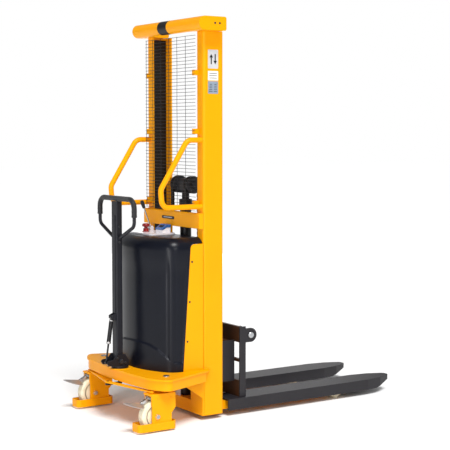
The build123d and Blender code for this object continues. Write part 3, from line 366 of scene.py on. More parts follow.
# Vinyl film, calendered: the three label grounds, flat and half matt.
FILM_GREY = Finish(
    "vinyl_film_grey", "light_plastic", "#C9CACC", "#BDBEC2", (0.3, 0.42), mottle_mm=30, grain_mm=1.0,
    depth_mm=0.01,
)
FILM_WHITE = Finish(
    "vinyl_film_white", "light_plastic", "#F4F3EF", "#EAE9E4", (0.3, 0.42), mottle_mm=30, grain_mm=1.0,
    depth_mm=0.01,
)
FILM_BLUE = Finish(
    "vinyl_film_blue_grey", "blue_plastic", "#8D9AA9", "#7F8D9E", (0.3, 0.42), mottle_mm=30,
    grain_mm=1.0, depth_mm=0.01,
)
# Screen ink, printed and dried: a thin flat black.
FILM_INK = Finish(
    "screen_print_ink", "black_paint", "#0C0C0E", "#141417", (0.4, 0.5), specular=0.3, mottle_mm=20,
    grain_mm=0.9, depth_mm=0.008,
)
# Painted casting, poured in sand: a rough black, rubbed grey where it is handled.
CAST = Finish(
    "painted_casting", "black_paint", "#26262A", "#1B1B1E", (0.35, 0.55), specular=0.45, mottle_mm=25,
    grain_mm=2.4, depth_mm=0.12, edge="#8B8B8F", edge_mm=1.2, edge_amount=0.7,
)
# Hard chrome, ground and oiled: a mirror drawn as a dark grey metal.
DARK_CHROME = Finish(
    "dark_chrome", "chromed_rod", "#3A3A3E", "#1C1C1F", (0.18, 0.4), metallic=0.8, mottle_mm=40,
    grain_mm=1.0, depth_mm=0.01, grain=Grain.ROUND,
)
# Brown primer, sprayed thin on hot-rolled bar: dull and warm. Its corners turn a lighter brown, a painted
# highlight.
PRIMER = Finish(
    "brown_primer", "black_paint", "#4A2C18", "#38210F", (0.4, 0.6), specular=0.3, mottle_mm=60,
    grain_mm=2.2, depth_mm=0.06, edge="#6B4A33", edge_mm=1.0, edge_amount=0.4,
)

# The finish of each CAD node that keeps its own shape. The other nodes get new pieces further down.
NODE_FINISHES: dict[Finish, tuple[str, ...]] = {
    YELLOW: (
        "steering_link", "mast_column_left", "mast_column_right", "mast_top_tube", "mast_top_caps",
        "mid_crossbeam", "base_plate", "lower_frame_plates", "grab_handle_left", "grab_handle_right",
        "guard_clips", "side_panel_left", "side_panel_right", "caster_left", "caster_right",
        "support_leg_left", "support_leg_right",
    ),
    CHARCOAL: ("fork_left", "fork_right", "carriage_side_plates", "roller_plates"),
    PRIMER: ("carriage_crossbars",),
    CAST: ("crosshead", "chain_wheel_left", "chain_wheel_right"),
    BLACK: ("cylinder_barrel", "crossbeam_fittings", "gas_spring_cylinder", "hydraulic_pipe"),
    TILLER_PAINT: ("turret", "tiller_pole", "tiller_loop"),
    DARK_CHROME: ("piston_rod", "gas_spring_rod"),
    ZINC: (
        "carriage_pins", "mast_roller_lower_left", "mast_roller_lower_right", "mast_roller_upper_left",
        "mast_roller_upper_right",
    ),
    TREAD: ("load_roller_left", "load_roller_right"),
    BATTERY: ("battery",),
    MOTOR: ("pump_motor",),
    TANK: ("oil_tank",),
}


# ---- mesh work --------------------------------------------------------------------------------


@dataclass
class Frame:
    """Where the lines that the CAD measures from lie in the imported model."""

    rear_face: float = 0.0

    def read(self) -> Frame:
        """Takes the columns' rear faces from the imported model."""
        self.rear_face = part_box("mast_column_left")[0][0]
        return self

    def at(self, x: float, y: float, z: float) -> Vector:
        """A point in metres from millimetres forward of the columns' rear faces, left, and up."""
        return Vector((self.rear_face + x * MM, y * MM, z * MM))


FRAME = Frame()


class Shape:
    """Gathers the faces of one piece, in millimetres measured as the CAD's are."""

    def __init__(self) -> None:
        """Starts with no faces."""
        self.bm = bmesh.new()

    def loft(
        self, rings: Sequence[Sequence[Point]], closed: bool = True, caps: bool = True, looped: bool = False
    ) -> Faces:
        """Joins rings of points into a skin.

        Args:
            rings: Rings with the same number of points each.
            closed: Whether each ring closes on itself.
            caps: Whether the two end rings are filled.
            looped: Whether the last ring joins the first.

        Returns:
            The new faces.
        """
        rows = [[self.bm.verts.new(FRAME.at(*p)) for p in ring] for ring in rings]
        count = len(rows[0])
        faces = []
        pairs = list(zip(rows, rows[1:])) + ([(rows[-1], rows[0])] if looped else [])
        for low, high in pairs:
            for i in range(count if closed else count - 1):
                j = (i + 1) % count
                faces.append(self.bm.faces.new((low[i], low[j], high[j], high[i])))
        if caps and closed and not looped:
            faces.append(self.bm.faces.new(list(reversed(rows[0]))))
            faces.append(self.bm.faces.new(rows[-1]))
        return faces

    def tube(
        self,
        path: Sequence[Point],
        radius: float | Callable[[float], float],
        sides: int = 14,
        looped: bool = False,
    ) -> Faces:
        """Sweeps a round section along a path.

        Args:
            path: The points of the middle line.
            radius: The section's radius, or a function of the share of the way along.
            sides: How many points each section has.
            looped: Whether the path closes on itself.

        Returns:
            The new faces.
        """
        points = [Vector(p) for p in path]
        count = len(points)
        rings = []
        normal = None
        for i, point in enumerate(points):
            ahead = points[(i + 1) % count] if looped or i < count - 1 else point
            behind = points[i - 1] if looped or i > 0 else point
            along = (ahead - behind).normalized()
            if normal is None:
                seed = Vector((0, 0, 1)) if abs(along.z) < 0.9 else Vector((1, 0, 0))
                normal = along.cross(seed).normalized()
            normal = (normal - along * normal.dot(along)).normalized()
            across = along.cross(normal)
            size = radius(i / max(count - 1, 1)) if callable(radius) else radius
            rings.append(self.ring(point, normal, across, size, sides))
        return self.loft(rings, looped=looped)

    @staticmethod
    def ring(centre: Vector, one: Vector, two: Vector, radius: float, count: int) -> list[Vector]:
        """A circle of points in the plane of two directions.

        Args:
            centre: The circle's middle.
            one: The direction of the first point.
            two: The direction of the point a quarter turn on.
            radius: The circle's radius.
            count: How many points it has.

        Returns:
            The points.
        """
        turn = [2 * math.pi * k / count for k in range(count)]
        return [centre + one * (radius * math.cos(t)) + two * (radius * math.sin(t)) for t in turn]

    def lathe(self, profile: Outline, centre: Point, axis: Point, segments: int = 40) -> Faces:
        """Turns a profile of (distance along, radius) pairs about an axis.

        Args:
            profile: Points from one end to the other. A radius of 0 closes an end.
            centre: A point on the axis, at distance 0.
            axis: The axis's direction.
            segments: How many points each ring has.

        Returns:
            The new faces.
        """
        along = Vector(axis).normalized()
        seed = Vector((0, 0, 1)) if abs(along.z) < 0.9 else Vector((1, 0, 0))
        one = along.cross(seed).normalized()
        two = along.cross(one)
        rings = []
        for distance, radius in profile:
            middle = Vector(centre) + along * distance
            rings.append(self.ring(middle, one, two, max(radius, 0.01), segments))
        return self.loft(rings)

    def prism(
        self,
        outline: Outline,
        to_point: Callable[[float, float, float], Point],
        depth: tuple[float, float],
        bevel: float = 0.0,
    ) -> Faces:
        """Gives an outline a thickness.

        Args:
            outline: The outline's points in its own plane.
            to_point: Turns the two plane values and the depth into a point.
            depth: Where the two faces lie.
            bevel: How far the sharp edges are rounded.

        Returns:
            The new faces.
        """
        rings = [[to_point(u, v, d) for u, v in outline] for d in depth]
        faces = self.loft(rings)
        if bevel:
            edges = {e for f in faces for e in f.edges if e.calc_face_angle(0) > 0.5}
            bmesh.ops.bevel(
                self.bm, geom=list(edges), offset=bevel * MM, segments=2, profile=0.5, affect="EDGES"
            )
        return faces

    def slab(
        self, x: tuple[float, float], y: tuple[float, float], z: tuple[float, float], bevel: float
    ) -> Faces:
        """A block between two values of x, y and z, with its edges rounded by bevel."""
        outline = [(x[0], y[0]), (x[1], y[0]), (x[1], y[1]), (x[0], y[1])]
        return self.prism(outline, lambda u, v, d: (u, v, d), z, bevel)

    def hex_head(self, centre: Point, axis: Point, across: float, height: float) -> None:
        """A hexagon bolt head with its chamfered crown, on a washer.

        Args:
            centre: Where the washer meets the face.
            axis: The direction out of the face.
            across: The width across the hexagon's flats.
            height: The head's height above the washer.
        """
        washer = [(0, 0), (0, across * 0.62), (1.2, across * 0.62), (1.6, across * 0.58), (1.6, 0)]
        self.lathe(washer, centre, axis, 28)
        radius = across / 3 ** 0.5
        base = Vector(centre) + Vector(axis) * 1.6
        crown = [(0, 0), (0, 1), (0.78, 1), (1, 0.86), (1, 0.5), (0.94, 0.4), (0.94, 0)]
        self.lathe([(height * along, radius * out) for along, out in crown], base, axis, 6)

    def button_head(self, centre: Point, axis: Point, radius: float) -> None:
        """A domed screw head with its socket.

        Args:
            centre: Where the head meets the face.
            axis: The direction out of the face.
            radius: The head's radius.
        """
        profile = [
            (0, 1), (0.18, 1), (0.42, 0.82), (0.52, 0.5), (0.52, 0.46), (0.2, 0.42), (0.2, 0),
        ]
        self.lathe([(radius * along, radius * out) for along, out in profile], centre, axis, 24)

    def weld(self, path: Sequence[Point], size: float) -> None:
        """A run of weld with the ripples of a hand-laid bead.

        Args:
            path: The corners of the run.
            size: The bead's radius.
        """
        points = [Vector(p) for p in path]
        total = sum((b - a).length for a, b in zip(points, points[1:]))
        steps = max(int(total / 1.6), 4)
        line = []
        for a, b in zip(points, points[1:]):
            share = max(int(steps * (b - a).length / total), 2)
            line += [a.lerp(b, k / share) for k in range(share)]
        line.append(points[-1])
        count = len(line)

        def bead(share: float) -> float:
            """The bead's radius at a share of the way along: it ripples, and tapers at its ends."""
            taper = 0.55 if share in (0, 1) else 1
            return size * (1 + 0.16 * math.sin(share * count * 1.35)) * taper

        self.tube(line, bead, 8)

    def piece(self, name: str, finish: Finish, body: str, sharp: float = 34.0) -> bpy.types.Object:
        """Turns the faces into a piece that rides on a body.

        Args:
            name: The piece's name.
            finish: Its finish.
            body: The body it moves with, or nothing for a piece that bends between bodies.
            sharp: The angle in degrees above which an edge stays crisp.

        Returns:
            The new object.
        """
        bmesh.ops.recalc_face_normals(self.bm, faces=self.bm.faces)
        mesh = bpy.data.meshes.new(name)
        self.bm.to_mesh(mesh)
        self.bm.free()
        for polygon in mesh.polygons:
            polygon.use_smooth = True
        mesh.set_sharp_from_angle(angle=math.radians(sharp))
        mesh.materials.append(finish.build())
        obj = bpy.data.objects.new(name, mesh)
        bpy.context.collection.objects.link(obj)
        if body:
            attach(obj, body)
        log.info("piece %s: %d faces, rides on %s", name, len(mesh.polygons), body or "two bodies")
        return obj


def smooth_step(value: float, low: float, high: float) -> float:
    """Rises smoothly from 0 at low to 1 at high."""
    share = min(max((value - low) / (high - low), 0.0), 1.0)
    return share * share * (3 - 2 * share)


def arc(centre: tuple[float, float], radius: float, start: float, end: float, steps: int) -> Outline:
    """Points on a circle's arc between two angles in degrees."""
    turn = [math.radians(start + (end - start) * k / steps) for k in range(steps + 1)]
    return [(centre[0] + radius * math.cos(t), centre[1] + radius * math.sin(t)) for t in turn]


def rounded(half_u: float, half_v: float, corner: float, steps: int = 5) -> Outline:
    """A rectangle with rounded corners about the origin.

    Args:
        half_u: Half its first measure.
        half_v: Half its second measure.
        corner: The corners' radius.
        steps: How many edges each corner has.

    Returns:
        The outline's points.
    """
    u, v = half_u - corner, half_v - corner
    outline = arc((u, v), corner, 0, 90, steps) + arc((-u, v), corner, 90, 180, steps)
    return outline + arc((-u, -v), corner, 180, 270, steps) + arc((u, -v), corner, 270, 360, steps)


# ---- mast -------------------------------------------------------------------------------------


@dataclass
class Mast:
    """The two columns, the top tube and what is fixed to them."""

    width: float = 60.0
    depth: float = 122.0
    outer: float = 287.0
    top: float = 2009.0
    web: float = 8.0
    shade_sheet_margin: float = 8.6
    shade_sheet_low: float = 60.0
    tube_x: float = -25.5
    tube_z: float = 2044.5
    tube_r: float = 35.5
    band_ends: tuple[float, float] = (-14.0, 76.0)
    cap_bolt_x: tuple[float, ...] = (34.0, 62.0)
    cap_bolt_z: float = 2046.0
    films: tuple[tuple[str, Finish, float, float], ...] = (
        ("upper", FILM_GREY, 1820.0, 1916.0),
        ("middle", FILM_WHITE, 1760.0, 1808.0),
        ("lower", FILM_BLUE, 1692.0, 1756.0),
    )
    bar_heights: tuple[float, ...] = (1772.0, 1784.0, 1796.0)
    badge_centre: tuple[float, float] = (24.0, 1044.0)
    beam_heights: tuple[float, ...] = (1000.0, 1080.0)
    plate_weld_z: float = 271.0

    def build(self) -> None:
        """Dresses the mast."""
        self.channel_shade_sheets()
        self.band()
        self.cap_bolts()
        self.labels()
        self.badge()
        self.welds()

    def channel_shade_sheets(self) -> None:
        """A near-black sheet on the inner face of each column's web: painted shade for the inside of the
        channel.
        """
        for side in Side:
            shape = Shape()
            y = side.value * (self.outer - self.web)
            wall = sorted((y - side.value * 0.2, y - side.value * 0.9))
            run = (self.shade_sheet_margin, self.depth - self.shade_sheet_margin)
            shape.slab(run, tuple(wall), (self.shade_sheet_low, self.top - 10), 0.3)
            shape.piece(f"channel_shade_sheet_{side.word}", CHANNEL_SHADE, "chassis")

    def band(self) -> None:
        """The plain black sleeve round the middle of the top tube."""
        shape = Shape()
        r = self.tube_r + 0.3
        low, high = self.band_ends
        profile = [(low, r - 0.5), (low, r), (high, r), (high, r - 0.5)]
        shape.lathe(profile, (self.tube_x, 0, self.tube_z), (0, 1, 0), 64)
        shape.piece("top_band", FILM_INK, "chassis")

    def cap_bolts(self) -> None:
        """Two screws in the outer face of each top cap."""
        shape = Shape()
        for side in Side:
            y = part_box("mast_top_caps")[1][1] / MM
            for x in self.cap_bolt_x:
                shape.button_head((x, side.value * y, self.cap_bolt_z), (0, side.value, 0), 5.5)
        shape.piece("cap_bolts", CAST, "chassis")

    def labels(self) -> None:
        """Films on the right column's outer face, printed with two arrows and with plain bars."""
        face = -self.outer
        x = self.depth / 2 - 3
        for name, finish, low, high in self.films:
            shape = Shape()
            half = (high - low) / 2
            shape.prism(
                rounded(31, half, 3), lambda u, v, d, z=low + half: (x + u, face + d, z + v), (-0.25, 0.1)
            )
            shape.piece(f"label_{name}", finish, "chassis")
        ink = Shape()
        middle = (self.films[0][2] + self.films[0][3]) / 2
        up = [(-3.5, -26), (3.5, -26), (3.5, 8), (11, 8), (0, 26), (-11, 8), (-3.5, 8)]
        down = [(u, -v) for u, v in reversed(up)]
        for across, arrow in ((-11, up), (13, down)):
            ink.prism(arrow, lambda u, v, d, a=across: (x + a + u, face + d, middle + v), (-0.4, 0))
        for z in self.bar_heights:
            ink.prism(rounded(23, 1.6, 1), lambda u, v, d, z=z: (x + u, face + d, z + v), (-0.4, 0))
        first, pitch = self.films[2][2] + 12, 9
        for row in range(5):
            for column in (-1, 1):
                ink.prism(
                    rounded(11 - row, 1.3, 0.8),
                    lambda u, v, d, z=first + pitch * row, c=column: (x + 14 * c + u, face + d, z + v),
                    (-0.35, 0),
                )
        ink.piece("label_print", FILM_INK, "chassis")

    def badge(self) -> None:
        """A blank raised plate on the crossbeam, with one bright bar across it."""
        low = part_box("mid_crossbeam")[0]
        x = (low[0] - FRAME.rear_face) / MM
        y, z = self.badge_centre
        shape = Shape()
        shape.prism(rounded(62, 7.5, 4), lambda u, v, d: (x - d, y + u, z + v), (-1, 1.8), 0.6)
        shape.piece("crossbeam_badge", FILM_INK, "chassis")
        bar = Shape()
        bar.prism(rounded(44, 2.2, 1.5), lambda u, v, d: (x - d, y + u, z + 0.5 + v), (1.6, 2.3))
        bar.piece("badge_bar", ZINC, "chassis")

    def welds(self) -> None:
        """Beads where the crossbeam, the base plate and the top caps meet the columns."""
        shape = Shape()
        inner = self.outer - self.width
        for side in Side:
            s = side.value
            for z in self.beam_heights:
                shape.weld([(-1, s * (inner + 2), z), (-1, s * (self.outer - 3), z)], 2.0)
            plate = self.plate_weld_z
            shape.weld([(1, s * (self.outer + 0.4), plate), (28, s * (self.outer + 0.4), plate)], 2.4)
            shape.weld([(-1.4, s * (inner + 4), plate), (-1.4, s * (self.outer - 2), plate)], 2.6)
            crown = self.top + 0.4
            for x in (9, self.depth - 9):
                shape.weld([(x, s * (self.outer - 2), crown), (x, s * (inner + 2), crown)], 1.8)
        shape.piece("mast_welds", YELLOW, "chassis", 60)


@dataclass
class Guard:
    """The welded wire mesh behind the mast."""

    x: float = -32.0
    ends: tuple[float, float] = (-258.0, 252.0)
    low: float = 1090.0
    high: float = 1990.0
    pitch: float = 18.0
    uprights: tuple[float, ...] = (-165.0, -81.0, 3.0, 87.0, 171.0, 240.0)
    wire: float = 1.2
    bow: float = 0.7
    uneven: float = 2.5

    def build(self) -> None:
        """Lays every wire: the rows bow a little, and their ends stick out unevenly."""
        shape = Shape()
        start, end = self.ends
        steps = 16
        rows = int((self.high - self.low) / self.pitch)
        for row in range(rows + 1):
            z = self.low + 2 + row * (self.high - self.low - 4) / rows
            sag = self.bow * math.sin(row * 2.3)
            spill = self.uneven * math.sin(row * 4.1)
            line = []
            for k in range(steps + 1):
                y = start + (end - start) * k / steps + (spill if k in (0, steps) else 0)
                line.append((self.x + self.wire, y, z + sag * math.sin(k * 0.9 + row) * 0.8))
            shape.tube(line, self.wire, 7)
        for column, across in enumerate(self.uprights):
            line = []
            for k in range(25):
                y = across + 0.9 * math.sin(k * 0.8 + column * 2)
                line.append((self.x - 1.3, y, self.low + k * (self.high - self.low) / 24))
            shape.tube(line, self.wire, 7)
        obj = shape.piece("guard_wires", BLACK, "chassis", 80)
        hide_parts("guard_mesh")


# ---- lifting chains ---------------------------------------------------------------------------


@dataclass
class Chains:
    """The two leaf chains with their plates and pins."""

    middle_x: float = 68.0
    wheel_z: float = 1217.0
    y: float = 66.0
    radius: float = 41.0
    width: float = 26.0
    thick: float = 9.2
    pitch: float = 12.7
    anchor_z: float = 1094.0
    front_low: float = 382.0
    plates: int = 9
    links_round: int = 10
    face_offset: float = 19.0
    studs: int = 6
    stud_circle: float = 34.5

    def link(self, shape: Shape, start: Vector, end: Vector, out: Vector, step: int, side: int) -> None:
        """One link's plates and the pin at its start.

        Args:
            shape: What gathers the faces.
            start: The pin at one end.
            end: The pin at the other end.
            out: The direction away from the chain's inner face.
            step: The link's number, which sets which plates it has.
            side: The sign of y.
        """
        along = (end - start).normalized()
        length = (end - start).length
        half = self.thick / 2
        outline = arc((0, 0), half, 90, 270, 6) + arc((length, 0), half, -90, 90, 6)
        plate = self.width / 9.4
        for k in range(self.plates):
            if k % 2 == step % 2:
                continue
            low = -self.width / 2 + k * plate * 1.035 + 0.3

            def place(u: float, v: float, d: float) -> Vector:
                """A point along, out from and across the link."""
                return start + along * u + out * v + Vector((0, side * self.y + d, 0))

            shape.prism(outline, place, (low, low + plate * 0.9))
        centre = start + Vector((0, side * self.y - self.width / 2 + 0.4, 0))
        long = self.width - 0.8
        profile = [(0, 0), (0, 1.8), (0.5, 2.3), (long - 0.5, 2.3), (long, 1.8), (long, 0)]
        shape.lathe(profile, centre, (0, 1, 0), 10)

    def run(self, shape: Shape, x: float, z: tuple[float, float], out: float, side: int) -> None:
        """A straight run between two heights.

        Args:
            shape: What gathers the faces.
            x: Where the run stands, forward.
            z: Its lower and upper ends.
            out: The sign of x that points away from the chain's inner face.
            side: The sign of y.
        """
        count = max(round((z[1] - z[0]) / self.pitch), 1)
        heights = [z[0] + 2.5 + k * (z[1] - z[0] - 5) / count for k in range(count + 1)]
        for k, (a, b) in enumerate(zip(heights, heights[1:])):
            self.link(shape, Vector((x, 0, a)), Vector((x, 0, b)), Vector((out, 0, 0)), k, side)

    def build(self) -> None:
        """Makes the wraps, the rear strands and the front strands, and dresses the wheels."""
        wraps, rear, front = Shape(), Shape(), Shape()
        rear_x, front_x = self.middle_x - self.radius, self.middle_x + self.radius
        hub = Vector((self.middle_x, 0, self.wheel_z))
        for side in Side:
            pins = []
            for k in range(self.links_round + 1):
                turn = math.pi * k / self.links_round
                ray = Vector((math.cos(turn), 0, math.sin(turn)))
                pins.append(hub + Vector((0, 0, 0.5)) + self.radius * ray)
            for k, (a, b) in enumerate(zip(pins, pins[1:])):
                self.link(wraps, a, b, ((a + b) / 2 - hub).normalized(), k, side.value)
            self.run(rear, rear_x, (self.anchor_z, self.wheel_z), -1, side.value)
            self.run(front, front_x, (self.front_low, self.wheel_z), 1, side.value)
            self.wheel_faces(side)
        obj = wraps.piece("leaf_chain_over_wheels", CHAIN, "crosshead", 40)
        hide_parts("chain_over_wheels")
        obj = rear.piece("leaf_chain_rear", CHAIN, "", 40)
        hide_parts("chain_rear_strands")
        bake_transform(obj)
        obj = front.piece("leaf_chain_front", CHAIN, "carriage", 40)
        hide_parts("chain_front_strands")
        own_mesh(obj)

    def wheel_faces(self, side: Side) -> None:
        """The raised rim and its ring of studs on both faces of a chain wheel.

        Args:
            side: The side the wheel is on.
        """
        faces = Shape()
        rim = [(-0.5, 23), (-0.5, 40), (0.7, 40), (1.3, 38.5), (1.3, 31), (0.5, 29), (0.5, 23)]
        stud = [(-0.2, 0), (-0.2, 2.6), (0.5, 2.2), (0.5, 0)]
        for s in (-1, 1):
            centre = (self.middle_x, side.value * self.y + s * self.face_offset, self.wheel_z)
            faces.lathe(rim, centre, (0, s, 0), 48)
            for k in range(self.studs):
                angle = 2 * math.pi * k / self.studs
                reach = self.stud_circle
                spot = Vector((reach * math.cos(angle), s * 1.3, reach * math.sin(angle)))
                faces.lathe(stud, Vector(centre) + spot, (0, s, 0), 10)
        faces.piece(f"chain_wheel_face_{side.word}", CAST, f"chain_wheel_{side.word}")


# ---- hood and controls ------------------------------------------------------------------------


@dataclass
class Hood:
    """The moulded cover over the lift unit."""

    low: float = 270.0
    top: float = 955.0
    half: float = 285.0
    rear: float = -277.0
    shoulder: tuple[float, float] = (-222.0, 220.0)
    corner: float = 84.0
    round: float = 62.0
    panel_top: float = 925.0
    side_steps: int = 18
    corner_steps: int = 44
    back_steps: int = 44
    close_rows: int = 68
    close_step: float = 2.5
    spaced_rows: int = 30
    round_rows: int = 18
    field_press: float = 6.5
    valley_press: float = 1.2
    panel_corner: float = 27.0
    seam: tuple[float, float] = (-122.0, -76.0)
    seam_top: float = 924.0
    crease: tuple[tuple[float, float], ...] = (
        (-302, 312), (-285, 316), (-262, 334), (-237, 359), (-200, 386), (-150, 405), (-75, 415),
        (0, 413), (75, 408), (150, 398), (232, 366), (302, 330),
    )

    def front_x(self, z: float, above: bool) -> float:
        """Where the cover's side ends towards the mast at a height.

        Args:
            z: The height.
            above: Whether it is above the side panels.

        Returns:
            The edge's x.
        """
        if above:
            return -1.0
        slope = (self.seam[1] - self.seam[0]) / (self.seam_top - self.low)
        line = self.seam[0] + slope * (z - self.low) - 1
        rise = z - (self.panel_top - self.panel_corner)
        if rise > 0:
            line += self.panel_corner - math.sqrt(max(self.panel_corner ** 2 - rise ** 2, 0))
        return line

    def crease_z(self, y: float) -> float:
        """The height of the curved crease across the rear face.

        Args:
            y: Left.

        Returns:
            The crease's z.
        """
        for (y0, z0), (y1, z1) in zip(self.crease, self.crease[1:]):
            if y <= y1:
                share = smooth_step(y, y0, y1) * 0.35 + (y - y0) / (y1 - y0) * 0.65
                return z0 + (z1 - z0) * share
        return self.crease[-1][1]

    def outline(self, inset: float, z: float, above: bool) -> Outline:
        """The cover's plan at a height, from the left side round the rear to the right side.

        Args:
            inset: How far it is drawn in.
            z: The height.
            above: Whether it is above the side panels.

        Returns:
            Points (x, y), always the same number.
        """
        half = self.half - inset
        rise = self.shoulder[0] - self.rear
        bow = (self.shoulder[1] ** 2 + rise ** 2) / (2 * rise)
        centre = self.rear + bow
        bow -= inset
        corner = max(self.corner - inset, 14)
        corner_y = half - corner
        corner_x = centre - math.sqrt((bow - corner) ** 2 - corner_y ** 2)
        lean = math.degrees(math.asin(corner_y / (bow - corner)))
        front = self.front_x(z, above)
        count = self.side_steps
        side = [(front + (corner_x - front) * k / count, half) for k in range(count)]
        side += arc((corner_x, corner_y), corner, 90, 180 - lean, self.corner_steps)
        back = []
        for k in range(1, self.back_steps + 1):
            angle = math.radians(180 - lean + lean * k / (self.back_steps + 1))
            back.append((centre + bow * math.cos(angle), bow * math.sin(angle)))
        left = side + back
        return left + [(centre - bow, 0.0)] + [(x, -y) for x, y in reversed(left)]

    def relief(self, place: int, y: float, z: float) -> float:
        """How far the surface is pressed in at a point.

        The field of the cover lies a little below the ribs that run up its rear corners and below
        the swollen foot under its curved crease.

        Args:
            place: The point's number along the outline.
            y: Left.
            z: Up.

        Returns:
            Millimetres inwards.
        """
        near = min(place, self.count() - 1 - place)
        share = (near - self.side_steps) / self.corner_steps
        rib = smooth_step(share, 0.3, 0.52) * (1 - smooth_step(share, 0.66, 0.84))
        valley = smooth_step(share, 0.74, 0.84) * (1 - smooth_step(share, 0.88, 1.0))
        foot = 1 - smooth_step(z, self.crease_z(y) - 5, self.crease_z(y) + 5)
        fade = 1 - smooth_step(z, self.top - 190, self.top - 90)
        rim = smooth_step(near, 1, 10)
        pressed = self.field_press * (1 - max(rib, foot)) + self.valley_press * valley * (1 - foot)
        return rim * fade * pressed

    def count(self) -> int:
        """How many points the outline has."""
        return 2 * (self.side_steps + self.corner_steps + 1 + self.back_steps) + 1

    def build(self) -> None:
        """Lofts the cover row by row and closes its top."""
        start = self.low + self.close_rows * self.close_step
        step = (self.top - self.round - start) / self.spaced_rows
        rows = [(0, self.low + self.close_step * k, False) for k in range(self.close_rows)]
        rows += [(0, start + step * k, False) for k in range(self.spaced_rows + 1)]
        for k in range(1, self.round_rows + 1):
            angle = math.radians(90 * k / self.round_rows)
            z = self.top - self.round + self.round * math.sin(angle)
            inset = self.round * (1 - math.cos(angle))
            rows.append((inset, z, z > self.panel_top))
        shape = Shape()
        rings = []
        for inset, z, above in rows:
            ring = []
            plan = self.outline(inset, z, above)
            for k, (x, y) in enumerate(plan):
                before, after = plan[max(k - 1, 0)], plan[min(k + 1, len(plan) - 1)]
                along = Vector((after[0] - before[0], after[1] - before[1]))
                inward = Vector((-along.y, along.x)).normalized()
                press = self.relief(k, y, z)
                ring.append((min(x + inward.x * press, -1), y + inward.y * press, z))
            rings.append(ring)
        shape.loft(rings, closed=False, caps=False)
        shape.bm.verts.ensure_lookup_table()
        count = len(rings[0])
        shape.bm.faces.new(shape.bm.verts[-count:])
        obj = shape.piece("hood_shell", HOOD, "chassis", 50)
        thick = obj.modifiers.new("wall", "SOLIDIFY")
        thick.thickness = 3.5 * MM
        thick.offset = -1
        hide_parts("hood_cover")


